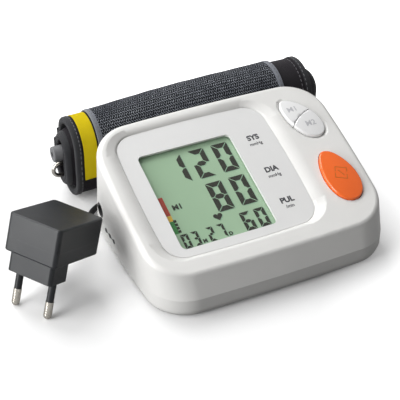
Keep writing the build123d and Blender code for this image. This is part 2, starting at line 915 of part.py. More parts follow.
def make_lead(points):
    """The free lead as a plain round tube along its route."""
    path = lead_path(points)
    section = Plane(origin=path @ 0, z_dir=path % 0) * Circle(lead_width / 2)
    tube = sweep(section, path=path)
    print("lead length", round(path.length, 1), "volume ratio", round(
        tube.volume / (path.length * pi * lead_width ** 2 / 4), 4))
    return tube


coil_outer = coil_mean_diameter / 2 + coil_columns * lead_width / 2
coil_inner = coil_mean_diameter / 2 - coil_columns * lead_width / 2
coil_floor = tie_thickness + coil_gap
coil_top = coil_floor + coil_layers * lead_width


def make_coil():
    """The outer shape of the wound spare lead."""
    ring = upright(2 * coil_outer, coil_x, coil_y, coil_floor, coil_top)
    return ring - upright(2 * coil_inner, coil_x, coil_y, coil_floor - 1, coil_top + 1)


def make_tie():
    """A strap round the near side of the coil."""
    half = tie_width / 2
    near = coil_y - coil_outer - coil_gap
    far = coil_y - sqrt(coil_inner ** 2 - half ** 2) + coil_gap
    hole = box_between((coil_x - tie_width, near, tie_thickness), (coil_x + tie_width, far, coil_top + coil_gap))
    strap = box_between(
        (coil_x - half, near - tie_thickness, 0),
        (coil_x + half, far + tie_thickness, coil_top + coil_gap + tie_thickness),
    )
    return fillet(strap.edges().filter_by(Axis.X), tie_thickness) - hole


def make_dc_plug():
    """The lead's plug: a ribbed grip and a hollow barrel, lying on the table in line with the lead."""
    start = Vector(*tail_route[-1])
    along = (start - Vector(*tail_route[-2])).normalized()
    place = Plane(origin=start, x_dir=(0, 0, 1), z_dir=along).location
    base = (Align.CENTER, Align.CENTER, Align.MIN)
    grip = Cone(lead_width / 2 + 0.6, dc_plug_grip_diameter / 2, grip_taper, align=base)
    body = Cylinder(dc_plug_grip_diameter / 2, dc_plug_grip_length - grip_taper, align=base)
    grip += Pos(0, 0, grip_taper) * fillet(body.edges().sort_by(Axis.Z)[-1], 0.8)
    for ring in range(grip_rings):
        level = 8.0 + ring * 2.2
        groove = Pos(0, 0, level) * Cylinder(dc_plug_grip_diameter, 0.9)
        grip -= groove - Pos(0, 0, level) * Cylinder(dc_plug_grip_diameter / 2 - 0.5, 2)
    barrel = Pos(0, 0, dc_plug_grip_length) * Cylinder(
        dc_barrel / 2, dc_plug_barrel_length, align=(Align.CENTER, Align.CENTER, Align.MIN)
    )
    barrel -= Pos(0, 0, dc_plug_grip_length + 1) * Cylinder(
        dc_pin / 2 + 0.1, dc_plug_barrel_length, align=(Align.CENTER, Align.CENTER, Align.MIN)
    )
    return place * grip, place * barrel


def build():
    keep("top_shell", make_top_shell())
    keep("bottom_shell", make_bottom_shell())
    fascia = slab(panel_shape(0.0), panel_drop, panel_floor) - slab(window_shape(0.0), 0, 10)
    keep("display_panel", fascia)
    keep("display_lens", slab(window_shape(lens_overlap), lens_top, lens_top + lens_thickness))
    keep("lcd_glass", slab(window_shape(lens_overlap), glass_top, glass_floor))
    tray = slab(window_shape(lens_overlap + glass_side_gap + frame_wall), glass_top + 1.4, board_top)
    tray -= slab(window_shape(lens_overlap + glass_side_gap), glass_top, glass_floor)
    tray -= slab(window_shape(-3.0), glass_floor - 1, board_top + 1)
    tray -= slab(window_shape(lens_overlap + frame_wall + 1) - window_shape(lens_overlap + glass_side_gap),
                 glass_top, ledge_floor + 0.1)
    tray -= slab(Pos(window_x, window_v - window_length / 2 + 5) * Rectangle(window_width - 10, strip_width + 0.3),
                 glass_floor - 1, board_top + 1)
    keep("lcd_frame", tray)
    strip = Pos(window_x, window_v - window_length / 2 + 5) * Rectangle(window_width - 10.4, strip_width)
    keep("contact_strip", slab(strip, glass_floor + 0.05, board_top - 0.05))
    rear, near = make_memory_buttons()
    keep("memory_button_1", rear)
    keep("memory_button_2", near)
    keep("start_button", make_button(start_shape, start_x, start_v, start_proud, start_dome))
    switches = [make_switch(start_x, start_v)]
    for reach in (rear_switch_reach, -near_switch_reach):
        turn = radians(memory_turn)
        switches.append(make_switch(memory_x - reach * sin(turn), memory_v + reach * cos(turn)))
    keep("tact_switches", Compound(switches))
    keep("main_board", make_board())
    screws = []
    for x, v in board_posts:
        shank = face.location * Pos(x, v, -board_floor + board_screw_length / 2) * Cylinder(
            board_screw_diameter / 2 - 0.25, board_screw_length
        )
        head = face.location * Pos(x, v, -board_floor - board_screw_head_height / 2) * Cylinder(
            board_screw_head / 2, board_screw_head_height
        )
        screws.append(shank + head)
    keep("board_screws", Compound(screws))
    sensor = Pos(valve_x, sensor_v, -board_floor - sensor_height / 2) * Box(sensor_size, sensor_size, sensor_height)
    sensor += Pos(valve_x, sensor_v, -board_floor - sensor_height - nipple_length / 2) * Cylinder(
        nipple_diameter / 2, nipple_length
    )
    keep("pressure_sensor", face.location * sensor)
    buzzer = Pos(buzzer_x, buzzer_v, -board_floor - buzzer_height / 2) * Cylinder(buzzer_diameter / 2, buzzer_height)
    buzzer -= Pos(buzzer_x, buzzer_v, -board_floor - buzzer_height) * Cylinder(buzzer_hole / 2, buzzer_height / 2)
    keep("buzzer", face.location * buzzer)
    motor = along_y(pump_diameter, pump_x, pump_height, motor_front, motor_front + motor_length)
    motor += along_y(shaft_boss, pump_x, pump_height, motor_front - 1.5, motor_front + 1)
    keep("pump_motor", motor)
    head_front = motor_front + motor_length
    pump_head = Pos(pump_x, head_front + head_length / 2, pump_height) * Box(
        pump_diameter - 1, head_length, pump_diameter - 1)
    pump_head = fillet(pump_head.edges().filter_by(Axis.Y), 4)
    pump_head += along_x(nipple_diameter, air_tube_y, air_tube_height, pump_face - nipple_length, pump_face + 1)
    keep("pump_head", pump_head)
    valve = box_between((valve_x - valve_width / 2, valve_front, case_floor),
                        (valve_x + valve_width / 2, valve_front + valve_length, valve_top))
    valve = fillet(valve.edges().filter_by(Axis.Y), valve_round)
    valve += upright(nipple_diameter, valve_x, valve_port_y, valve_top - 1, valve_top + nipple_length)
    keep("release_valve", valve)
    keep("air_tubes", make_air_tubes())
    keep("air_socket", make_air_socket())
    keep("dc_socket", make_dc_socket())
    cells = [make_cell(x, i % 2 == 1) for i, x in enumerate(cell_places)]
    keep("batteries", Compound(cells))
    keep("battery_springs", Compound([make_spring(x, i % 2 == 1) for i, x in enumerate(cell_places)]))
    plates = []
    for x in cell_places:
        for y in (bay_front, bay_back - contact_thickness):
            plates.append(box_between((x - contact_width / 2, y, cell_height - contact_height / 2),
                                      (x + contact_width / 2, y + contact_thickness, cell_height + contact_height / 2)))
    keep("battery_contacts", Compound(plates))
    keep("battery_door", make_door())
    keep("rubber_feet", Compound([upright(foot_diameter, x, y, 0, foot_recess) for x, y in foot_places]))
    screws = []
    for x, y in post_places:
        head = upright(screw_head_diameter, x, y, screw_seat - screw_head_height, screw_seat)
        screws.append(head + upright(screw_diameter, x, y, screw_seat - 1, screw_seat + screw_length))
    keep("case_screws", Compound(screws))
    build_cuff()
    build_adapter()


def make_air_tubes():
    """Soft tubes from the pump to the valve, the cuff socket and the pressure sensor."""
    corners = [
        (pump_face - 0.3, air_tube_y, air_tube_height),
        (valve_x, air_tube_y, air_tube_height),
        (valve_x, valve_port_y, air_tube_height),
        (valve_x, valve_port_y, valve_top + 0.3),
    ]
    path = FilletPolyline(*[Vector(*corner) for corner in corners], radius=tube_bend)
    sensor_end = face.from_local_coords((valve_x, sensor_v, -board_floor - sensor_height - 0.3))
    below = (sensor_end.Z - air_tube_height) / cos(radians(face_tilt))
    lean_in = Plane(origin=sensor_end, x_dir=(1, 0, 0), z_dir=face.z_dir).location
    tubes = []
    for size in (tube_diameter, tube_bore):
        start = Plane(origin=path @ 0, z_dir=path % 0)
        line = sweep(start * Circle(size / 2), path=path)
        line += along_y(size, air_socket_x, air_tube_height, air_tube_y, air_socket_back - 0.3)
        line += lean_in * Pos(0, 0, -below / 2) * Cylinder(size / 2, below)
        tubes.append(line)
    return tubes[0] - tubes[1]


def make_air_socket():
    """Socket for the cuff's air plug, with a flange inside the back wall and a nipple behind."""
    outside = air_socket_mouth
    flange_back = outside - wall - 2 * fit_gap - rear_lean * air_socket_flange
    socket = along_y(air_socket_diameter, air_socket_x, air_tube_height, air_socket_back, outside)
    socket += along_y(air_socket_flange, air_socket_x, air_tube_height,
                      flange_back - air_socket_flange_thickness, flange_back)
    socket += along_y(nipple_diameter, air_socket_x, air_tube_height, air_socket_back - nipple_length,
                      air_socket_back + 1)
    socket -= along_y(air_socket_bore, air_socket_x, air_tube_height, outside - air_socket_bore_depth, outside + 1)
    return socket


def make_dc_socket():
    """Power socket: a box on two ribs, its round mouth in the side of the case, a pin inside."""
    mouth = -case_width / 2 + dc_mouth_set
    back = dc_left + dc_body_length
    half_width = dc_body_width / 2
    half_height = dc_body_height / 2
    socket = box_between((dc_left, dc_socket_y - half_width, dc_socket_height - half_height),
                         (back, dc_socket_y + half_width, dc_socket_height + half_height))
    socket = fillet(socket.edges().filter_by(Axis.X), 0.8)
    socket += along_x(dc_collar, dc_socket_y, dc_socket_height, mouth, dc_left + 1)
    socket -= along_x(dc_bore, dc_socket_y, dc_socket_height, mouth - 1, mouth + dc_bore_depth)
    return socket + along_x(dc_pin, dc_socket_y, dc_socket_height, mouth + 1.5, mouth + dc_bore_depth + 1)


def build_cuff():
    """The rolled cuff: wound cloth, its panels and edges, the ring in its hem and the air plug."""
    keep("cuff_wrap", roll_layer(roll_left, roll_right, 0, outer_halves, 0, -cloth, head=True))
    last = outer_halves + inner_halves
    keep("cuff_inner", roll_layer(inner_left, inner_right, outer_halves, last, 0, -cloth, head=True))
    raised = patch_gap + hook_proud
    keep("hook_panel", roll_layer(hook_left, hook_right, 1, 2, raised, patch_gap, head=True))
    raised = patch_gap + binding_proud
    keep("index_band", roll_layer(band_left, band_left + band_width, 1, 2, raised, patch_gap, head=True))
    binding = roll_layer(roll_left, roll_left + binding_width / 2, 0, 2, raised, patch_gap, head=True)
    keep("edge_binding_left", binding)
    binding = roll_layer(roll_right - binding_width / 2, roll_right, 0, 2, raised, patch_gap, head=True)
    keep("edge_binding_right", binding)
    keep("cuff_ring", make_ring())
    keep("ring_hem", make_hem())
    keep("air_plug", make_air_plug())


def make_air_plug():
    """Air plug at the cuff's end: a grip with shallow grooves, a neck and a through bore."""
    end = plug_left + plug_length
    plug = along_x(plug_diameter, plug_y, plug_height, plug_left, end)
    plug = fillet(plug.edges().filter_by(GeomType.CIRCLE), 0.6)
    for ring in range(3):
        x = plug_left + 8 + ring * 4
        plug -= along_x(2 * plug_diameter, plug_y, plug_height, x, x + 1) - along_x(
            plug_diameter - 0.8, plug_y, plug_height, x - 1, x + 2)
    plug += along_x(plug_neck_diameter, plug_y, plug_height, end - 1, end + plug_neck_length)
    return plug - along_x(plug_bore, plug_y, plug_height, plug_left - 1, end + plug_neck_length + 1)


def build_adapter():
    """The mains adapter and its lead."""
    upper, lower = make_adapter_cases()
    keep("adapter_top_case", upper)
    keep("adapter_base_case", lower)
    pins, sleeves = make_pins()
    keep("plug_pins", Compound(pins))
    keep("pin_sleeves", Compound(sleeves))
    inner_floor = body_low + body_wall
    board = box_between(
        (-body_left + body_wall + adapter_board_gap, body_front + body_wall + adapter_board_gap, inner_floor),
        (body_right - body_wall - adapter_board_gap, body_back - body_wall - adapter_board_gap - relief_clear,
         inner_floor + adapter_board_height),
    )
    for side in (-1, 1):
        board -= upright(pin_diameter + 2 * adapter_board_gap, side * pin_pitch / 2, 0, body_low, body_split)
    keep("adapter_board", adapter_frame.location * board)
    core_floor = inner_floor + adapter_board_height
    middle = (body_front + body_back) / 2 + 2
    transformer = Pos(0, middle, core_floor + transformer_height / 2) * Box(
        transformer_width, transformer_depth, transformer_height
    )
    transformer = fillet(transformer.edges().filter_by(Axis.Z), 1.0)
    coil_band = Pos(0, middle, core_floor + transformer_height / 2) * Box(
        transformer_width - 4, transformer_depth + 3, transformer_height - 3
    )
    keep("adapter_transformer", adapter_frame.location * (transformer + coil_band))
    keep("strain_relief", make_relief())
    keep("dc_cord", make_lead([tuple(relief_end), tuple(lead_first)] + lead_route))
    keep("dc_cord_coil", make_coil())
    keep("dc_cord_tail", make_lead(tail_route))
    keep("coil_tie", make_tie())
    grip, barrel = make_dc_plug()
    keep("dc_plug_grip", grip)
    keep("dc_plug_barrel", barrel)


build()
os.makedirs("parts", exist_ok=True)
for name, shape in parts_made.items():
    export_step(shape, f"parts/{name}.step")
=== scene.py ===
import json
from math import cos, hypot, pi, radians, sin

import bmesh
import bpy
from mathutils import Matrix, Vector
from mathutils.noise import noise


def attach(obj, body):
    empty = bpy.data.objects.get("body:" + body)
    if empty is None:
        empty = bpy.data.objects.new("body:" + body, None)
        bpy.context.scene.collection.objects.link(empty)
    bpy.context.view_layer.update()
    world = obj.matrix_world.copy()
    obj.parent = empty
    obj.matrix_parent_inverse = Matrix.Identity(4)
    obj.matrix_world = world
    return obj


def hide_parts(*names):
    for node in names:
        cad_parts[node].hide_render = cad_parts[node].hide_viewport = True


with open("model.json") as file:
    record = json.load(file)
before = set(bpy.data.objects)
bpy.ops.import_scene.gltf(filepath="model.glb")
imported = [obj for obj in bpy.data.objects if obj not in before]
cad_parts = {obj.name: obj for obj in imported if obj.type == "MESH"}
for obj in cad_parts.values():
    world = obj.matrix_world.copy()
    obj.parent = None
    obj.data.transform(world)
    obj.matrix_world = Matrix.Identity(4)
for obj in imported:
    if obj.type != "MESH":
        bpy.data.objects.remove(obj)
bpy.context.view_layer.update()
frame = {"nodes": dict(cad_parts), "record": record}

# Upper arm blood pressure monitor with its rolled cuff and mains adapter, in metres.
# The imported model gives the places. This script gives the finish of every surface,
# the marks on the display and buttons, the wound cloth of the cuff and the lead.
MM = 0.001

# The sloping face: x across, v up the slope, and height square to it
FACE_TILT = radians(19.7)
FACE_CENTRE_HEIGHT = 38.77 * MM
PANEL_DROP = 2.0 * MM
GLASS_TOP = 4.3 * MM
face_place = Matrix.Translation((0, 0, FACE_CENTRE_HEIGHT)) @ Matrix.Rotation(FACE_TILT, 4, "X")


# Camera, light and backdrop

CAMERA_PLACE = Vector((-0.223335, -0.423771, 0.370782))
CAMERA_FORWARD = Vector((0.34775, 0.72936, -0.58915))
FOCAL_LENGTH_PX = 1174.1
PHOTO_WIDTH_PX = 400
SENSOR_WIDTH = 36.0


def make_camera():
    data = bpy.data.cameras.new("photo_camera")
    data.sensor_width = SENSOR_WIDTH
    data.lens = SENSOR_WIDTH * FOCAL_LENGTH_PX / PHOTO_WIDTH_PX
    camera = bpy.data.objects.new("photo_camera", data)
    camera.location = CAMERA_PLACE
    camera.rotation_mode = "QUATERNION"
    camera.rotation_quaternion = CAMERA_FORWARD.to_track_quat("-Z", "Y")
    bpy.context.scene.collection.objects.link(camera)
    bpy.context.scene.camera = camera


def make_light(name, place, target, size, power):
    data = bpy.data.lights.new(name, "AREA")
    data.shape = "DISK"
    data.size = size
    data.energy = power
    lamp = bpy.data.objects.new(name, data)
    lamp.location = place
    lamp.rotation_mode = "QUATERNION"
    lamp.rotation_quaternion = (Vector(target) - Vector(place)).to_track_quat("-Z", "Y")
    bpy.context.scene.collection.objects.link(lamp)


def make_studio():
    """Soft studio light from above, behind and the left, as plain as in a catalogue picture."""
    make_light("softbox_behind", (-0.10, 0.75, 1.05), (0, 0, 0), 0.8, 10.0)
    make_light("softbox_left", (-0.97, 0.10, 0.76), (0, 0, 0.02), 1.2, 11.5)
    make_light("softbox_low", (-0.80, -0.10, 0.16), (-0.07, -0.03, 0.02), 0.35, 3.0)
    world = bpy.data.worlds.new("studio")
    bpy.context.scene.world = world
    world.use_nodes = True
    tree = world.node_tree
    tree.nodes.clear()
    room = node(tree, "ShaderNodeBackground", {"Color": (1, 1, 1, 1), "Strength": 0.22})
    white = node(tree, "ShaderNodeBackground", {"Color": (1, 1, 1, 1), "Strength": 1.0})
    shaders = {0: seen_directly(tree), 1: room.outputs[0], 2: white.outputs[0]}
    mixed = node(tree, "ShaderNodeMixShader", shaders)
    node(tree, "ShaderNodeOutputWorld", {"Surface": mixed.outputs[0]})
    bpy.context.scene.view_settings.view_transform = "Standard"


def make_floor():
    """A white sweep: the camera sees it bright, more so away from the set, and it lights the set dimly."""
    glow_centre = (-0.06, -0.01, 0)
    bpy.ops.mesh.primitive_plane_add(size=6.0, location=(0, 0, 0))
    floor = bpy.context.object
    floor.name = "floor"
    material = bpy.data.materials.new("white_sweep")
    material.use_nodes = True
    tree = material.node_tree
    tree.nodes.clear()
    paper = node(tree, "ShaderNodeBsdfDiffuse", {"Color": (0.88, 0.88, 0.88, 1)})
    away = node(tree, "ShaderNodeVectorMath", {0: object_place(tree), 1: glow_centre}, operation="DISTANCE")
    glow = spread(tree, away.outputs["Value"], 0.09, 0.21, 0.06, 0.80)
    lift = node(tree, "ShaderNodeEmission", {"Color": (1, 1, 1, 1), "Strength": glow})
    both = node(tree, "ShaderNodeAddShader", {0: paper.outputs[0], 1: lift.outputs[0]})
    dim = node(tree, "ShaderNodeBsdfDiffuse", {"Color": (0.16, 0.16, 0.16, 1)})
    shaders = {0: seen_directly(tree), 1: dim.outputs[0], 2: both.outputs[0]}
    mixed = node(tree, "ShaderNodeMixShader", shaders)
    node(tree, "ShaderNodeOutputMaterial", {"Surface": mixed.outputs[0]})
    floor.data.materials.append(material)


# Shader building

def node(tree, kind, inputs=None, **settings):
    """Add a shader node, set its properties, and set or link its inputs."""
    made = tree.nodes.new(kind)
    for name, value in settings.items():
        setattr(made, name, value)
    for key, value in (inputs or {}).items():
        feed(tree, made.inputs[key], value)
    return made


def feed(tree, socket, value):
    """Link a socket to another one, or set its value."""
    if isinstance(value, bpy.types.NodeSocket):
        tree.links.new(value, socket)
    else:
        socket.default_value = value


def calculate(tree, operation, *values, clamp=False):
    """The output of a Math node."""
    made = node(tree, "ShaderNodeMath", dict(enumerate(values)), operation=operation, use_clamp=clamp)
    return made.outputs[0]


def spread(tree, value, low, high, to_low=0.0, to_high=1.0):
    """Map a value from one range to another, held inside it."""
    sockets = {"Value": value, "From Min": low, "From Max": high, "To Min": to_low, "To Max": to_high}
    return node(tree, "ShaderNodeMapRange", sockets, clamp=True).outputs[0]


def blend_colours(tree, mask, first, second):
    """The colour between two colours, or colour sockets, that the mask gives."""
    made = node(tree, "ShaderNodeMix", data_type="RGBA")
    for place, value in ((0, mask), (6, first), (7, second)):
        feed(tree, made.inputs[place], value)
    return made.outputs[2]


def seen_directly(tree):
    """One for camera and transmission rays, a third for mirrored ones, nought for those that light things."""
    path = node(tree, "ShaderNodeLightPath")
    mirrored = calculate(tree, "MULTIPLY", path.outputs["Is Glossy Ray"], 0.35)
    direct = calculate(tree, "MAXIMUM", path.outputs["Is Camera Ray"], mirrored)
    return calculate(tree, "MAXIMUM", direct, path.outputs["Is Transmission Ray"])


def make_group(name, inputs, outputs):
    """An empty node group with named float or vector sockets, and its two end nodes."""
    tree = bpy.data.node_groups.new(name, "ShaderNodeTree")
    for socket, kind, value in inputs:
        made = tree.interface.new_socket(name=socket, in_out="INPUT", socket_type=kind)
        if value is not None:
            made.default_value = value
    for socket in outputs:
        tree.interface.new_socket(name=socket, in_out="OUTPUT", socket_type="NodeSocketFloat")
    return tree, node(tree, "NodeGroupInput"), node(tree, "NodeGroupOutput")


FLOAT = "NodeSocketFloat"
VECTOR = "NodeSocketVector"


def make_grain_group():
    """Fine moulded grain, and a broad mottling that colour and gloss follow."""
    inputs = [("Vector", VECTOR, None), ("Grain Scale", FLOAT, 2000.0), ("Mottle Scale", FLOAT, 60.0)]
    tree, source, result = make_group("moulded_grain", inputs, ["Grain", "Mottle"])
    given = source.outputs
    fine = node(tree, "ShaderNodeTexNoise", {
        "Vector": given["Vector"], "Scale": given["Grain Scale"], "Detail": 3.0, "Roughness": 0.6})
    broad = node(tree, "ShaderNodeTexNoise", {
        "Vector": given["Vector"], "Scale": given["Mottle Scale"], "Detail": 5.0, "Roughness": 0.6})
    tree.links.new(fine.outputs["Fac"], result.inputs["Grain"])
    tree.links.new(spread(tree, broad.outputs["Fac"], 0.3, 0.7), result.inputs["Mottle"])
    return tree


def make_wear_group():
    """A mask of rubbed edges, broken up by noise."""
    inputs = [("Vector", VECTOR, None), ("Width", FLOAT, 0.0006), ("Amount", FLOAT, 0.5)]
    tree, source, result = make_group("edge_wear", inputs, ["Mask"])
    rounded = node(tree, "ShaderNodeBevel", {"Radius": source.outputs["Width"]}, samples=4)
    straight = node(tree, "ShaderNodeNewGeometry")
    alike = node(tree, "ShaderNodeVectorMath", {0: rounded.outputs[0], 1: straight.outputs["Normal"]},
                 operation="DOT_PRODUCT")
    turned = spread(tree, alike.outputs["Value"], 0.995, 0.86)
    patches = node(tree, "ShaderNodeTexNoise", {
        "Vector": source.outputs["Vector"], "Scale": 320.0, "Detail": 4.0})
    broken = calculate(tree, "MULTIPLY", turned, spread(tree, patches.outputs["Fac"], 0.35, 0.65))
    worn = calculate(tree, "MULTIPLY", broken, source.outputs["Amount"], clamp=True)
    tree.links.new(worn, result.inputs["Mask"])
    return tree


def make_dust_and_shade_group():
    """A mask that gathers where surfaces meet: settled dirt on most finishes, painted shade where its colour
    is a deeper tone of the piece's own.
    """
    inputs = [("Vector", VECTOR, None), ("Reach", FLOAT, 0.003), ("Amount", FLOAT, 0.3)]
    tree, source, result = make_group("settled_dust_and_shade", inputs, ["Mask"])
    shade = node(tree, "ShaderNodeAmbientOcclusion", {"Distance": source.outputs["Reach"]}, samples=6)
    near = spread(tree, shade.outputs["AO"], 0.85, 0.25)
    specks = node(tree, "ShaderNodeTexNoise", {
        "Vector": source.outputs["Vector"], "Scale": 900.0, "Detail": 5.0})
    uneven = calculate(tree, "MULTIPLY", near, spread(tree, specks.outputs["Fac"], 0.3, 0.75))
    gathered = calculate(tree, "MULTIPLY", uneven, source.outputs["Amount"], clamp=True)
    tree.links.new(gathered, result.inputs["Mask"])
    return tree


def make_weave_group():
    """A plain weave on a flat map in metres: thread height, and which thread lies on top."""
    tree, source, result = make_group(
        "plain_weave", [("Vector", VECTOR, None), ("Thread", FLOAT, 0.0005)], ["Height", "Over"])
    parts = node(tree, "ShaderNodeSeparateXYZ", {0: source.outputs["Vector"]})
    waves = []
    for axis in ("X", "Y"):
        count = calculate(tree, "DIVIDE", parts.outputs[axis], source.outputs["Thread"])
        waves.append(calculate(tree, "SINE", calculate(tree, "MULTIPLY", count, pi)))
    crossing = calculate(tree, "MULTIPLY", waves[0], waves[1])
    over = calculate(tree, "MULTIPLY_ADD", crossing, 0.5, 0.5)
    height = calculate(tree, "ABSOLUTE", crossing)
    tree.links.new(height, result.inputs["Height"])
    tree.links.new(over, result.inputs["Over"])
    return tree


groups = {
    "grain": make_grain_group(),
    "wear": make_wear_group(),
    "dust_and_shade": make_dust_and_shade_group(),
    "weave": make_weave_group(),
}


def effect(tree, group, inputs):
    """One of the shared effects, placed in a material with its own values."""
    return node(tree, "ShaderNodeGroup", inputs, node_tree=groups[group])


def start_material(name, **sockets):
    """A material with a Principled BSDF, its constant values set on the shader's own sockets."""
    material = bpy.data.materials.new(name)
    material.use_nodes = True
    tree = material.node_tree
    shader = tree.nodes["Principled BSDF"]
    for key, value in sockets.items():
        shader.inputs[key.replace("_", " ")].default_value = value
    return material, tree, shader


def connect(tree, shader, colour=None, roughness=None, height=None, depth=0.0001, strength=0.5):
    """Join colour, roughness and bump height to the shader."""
    if colour is not None:
        tree.links.new(colour, shader.inputs["Base Color"])
    if roughness is not None:
        tree.links.new(roughness, shader.inputs["Roughness"])
    if height is not None:
        bump = node(tree, "ShaderNodeBump", {"Strength": strength, "Distance": depth, "Height": height})
        tree.links.new(bump.outputs["Normal"], shader.inputs["Normal"])


def object_place(tree):
    return node(tree, "ShaderNodeTexCoord").outputs["Object"]


def flat_map(tree):
    return node(tree, "ShaderNodeUVMap", uv_map="flat").outputs["UV"]


def moulded(name, colour, mottle, worn, gloss, grain=2200.0, depth=0.00003, wear=0.35, dust_and_shade=0.25,
            dust_and_shade_colour=(0.55, 0.54, 0.51, 1), **sockets):
    """Moulded plastic or rubber: grain, faint mottling, rubbed edges, and a colour gathered in the corners,
    settled grime on most pieces but painted shade on the orange buttons.
    """
    material, tree, shader = start_material(name, **sockets)
    place = object_place(tree)
    texture = effect(tree, "grain", {"Vector": place, "Grain Scale": grain, "Mottle Scale": 55.0})
    body = blend_colours(tree, texture.outputs["Mottle"], colour, mottle)
    edges = effect(tree, "wear", {"Vector": place, "Width": 0.0007, "Amount": wear})
    body = blend_colours(tree, edges.outputs["Mask"], body, worn)
    gathered = effect(tree, "dust_and_shade", {"Vector": place, "Reach": 0.003, "Amount": dust_and_shade})
    body = blend_colours(tree, gathered.outputs["Mask"], body, dust_and_shade_colour)
    roughness = spread(tree, texture.outputs["Mottle"], 0.0, 1.0, gloss[0], gloss[1])
    connect(tree, shader, body, roughness, texture.outputs["Grain"], depth)
    return material


def metal(name, colour, tarnish, gloss, scratch=0.00002):
    """Bright metal with fine scratches along it and a little tarnish."""
    material, tree, shader = start_material(name, Metallic=1.0)
    place = object_place(tree)
    texture = effect(tree, "grain", {"Vector": place, "Grain Scale": 1400.0, "Mottle Scale": 260.0})
    drawn = node(tree, "ShaderNodeMapping", {"Vector": place, "Scale": (60.0, 2600.0, 2600.0)})
    lines = node(tree, "ShaderNodeTexNoise", {"Vector": drawn.outputs[0], "Scale": 1.0, "Detail": 4.0})
    colours = blend_colours(tree, texture.outputs["Mottle"], colour, tarnish)
    roughness = spread(tree, lines.outputs["Fac"], 0.3, 0.7, gloss[0], gloss[1])
    connect(tree, shader, colours, roughness, lines.outputs["Fac"], scratch, 0.3)
    return material


def woven(name, colour, second, thread, depth=0.00012, gloss=(0.7, 0.9), fuzz=0.25, **sockets):
    """Woven cloth on the piece's flat map, with loose fibres and uneven dye."""
    material, tree, shader = start_material(name, **sockets)
    laid = flat_map(tree)
    place = object_place(tree)
    threads = effect(tree, "weave", {"Vector": laid, "Thread": thread})
    texture = effect(tree, "grain", {"Vector": place, "Grain Scale": 1500.0, "Mottle Scale": 75.0})
    over = calculate(tree, "MULTIPLY_ADD", threads.outputs["Over"], 0.55, -0.1)
    mixed = calculate(tree, "MULTIPLY_ADD", texture.outputs["Mottle"], 0.45, over, clamp=True)
    fibres = calculate(tree, "MULTIPLY", texture.outputs["Grain"], fuzz)
    height = calculate(tree, "ADD", threads.outputs["Height"], fibres)
    roughness = spread(tree, texture.outputs["Mottle"], 0.0, 1.0, gloss[0], gloss[1])
    connect(tree, shader, blend_colours(tree, mixed, colour, second), roughness, height, depth, 0.8)
    return material


def hook_pile():
    """The hook panel: rows of short pale hooks leaning to and fro, on a dark ground, along the roll."""
    row_height = 1.7 * MM
    hook_pitch = 1.35 * MM
    material, tree, shader = start_material("hook_pile", Specular_IOR_Level=0.1)
    laid = node(tree, "ShaderNodeSeparateXYZ", {0: flat_map(tree)})
    along, around = laid.outputs["X"], laid.outputs["Y"]
    jitter = node(tree, "ShaderNodeTexNoise", {"Vector": flat_map(tree), "Scale": 500.0, "Detail": 2.0})
    wobble = spread(tree, jitter.outputs["Fac"], 0.2, 0.8, -0.25 * MM, 0.25 * MM)
    lean = calculate(tree, "PINGPONG", around, row_height)
    shaken = calculate(tree, "ADD", along, wobble)
    slanted = calculate(tree, "MULTIPLY_ADD", lean, 0.9, shaken)
    hooks = calculate(tree, "SINE", calculate(tree, "MULTIPLY", slanted, 2 * pi / hook_pitch))
    in_row = calculate(tree, "SINE", calculate(tree, "MULTIPLY", lean, pi / row_height))
    lit = calculate(tree, "MULTIPLY", spread(tree, hooks, -0.25, 0.6), spread(tree, in_row, 0.15, 0.7))
    speck = node(tree, "ShaderNodeTexNoise", {"Vector": flat_map(tree), "Scale": 1700.0, "Detail": 3.0})
    lit = calculate(tree, "MULTIPLY", lit, spread(tree, speck.outputs["Fac"], 0.32, 0.55), clamp=True)
    patch = effect(tree, "grain", {
        "Vector": object_place(tree), "Grain Scale": 900.0, "Mottle Scale": 60.0})
    pale = blend_colours(tree, patch.outputs["Mottle"], (0.27, 0.29, 0.34, 1), (0.58, 0.61, 0.67, 1))
    colour = blend_colours(tree, lit, (0.005, 0.006, 0.008, 1), pale)
    connect(tree, shader, colour, spread(tree, lit, 0.0, 1.0, 0.85, 0.5), lit, 0.0005, 1.0)
    return material


def display_green():
    """The reflecting back of the display: grey-green, finely brushed, and a little deeper to the left, which
    is painted shade.
    """
    material, tree, shader = start_material("display_green", Specular_IOR_Level=0.4)
    place = object_place(tree)
    across = node(tree, "ShaderNodeSeparateXYZ", {0: place}).outputs["X"]
    # Painted shade: the colour darkens towards the display's left side.
    deeper = calculate(tree, "MULTIPLY", spread(tree, across, -45 * MM, 8 * MM), 0.7)
    texture = effect(tree, "grain", {"Vector": place, "Grain Scale": 5200.0, "Mottle Scale": 24.0})
    share = calculate(tree, "MULTIPLY_ADD", texture.outputs["Mottle"], 0.3, deeper)
    colour = blend_colours(tree, share, (0.335, 0.50, 0.325, 1), (0.405, 0.575, 0.395, 1))
    connect(tree, shader, colour, spread(tree, texture.outputs["Grain"], 0.3, 0.7, 0.32, 0.5),
            texture.outputs["Grain"], 0.00001, 0.3)
    return material


def clear_lens():
    material, tree, shader = start_material(
        "clear_lens", Base_Color=(0.30, 0.36, 0.32, 1), Alpha=0.04, IOR=1.49, Specular_IOR_Level=0.25)
    texture = effect(tree, "grain", {
        "Vector": object_place(tree), "Grain Scale": 900.0, "Mottle Scale": 40.0})
    connect(tree, shader, None, spread(tree, texture.outputs["Mottle"], 0.0, 1.0, 0.03, 0.09))
    return material


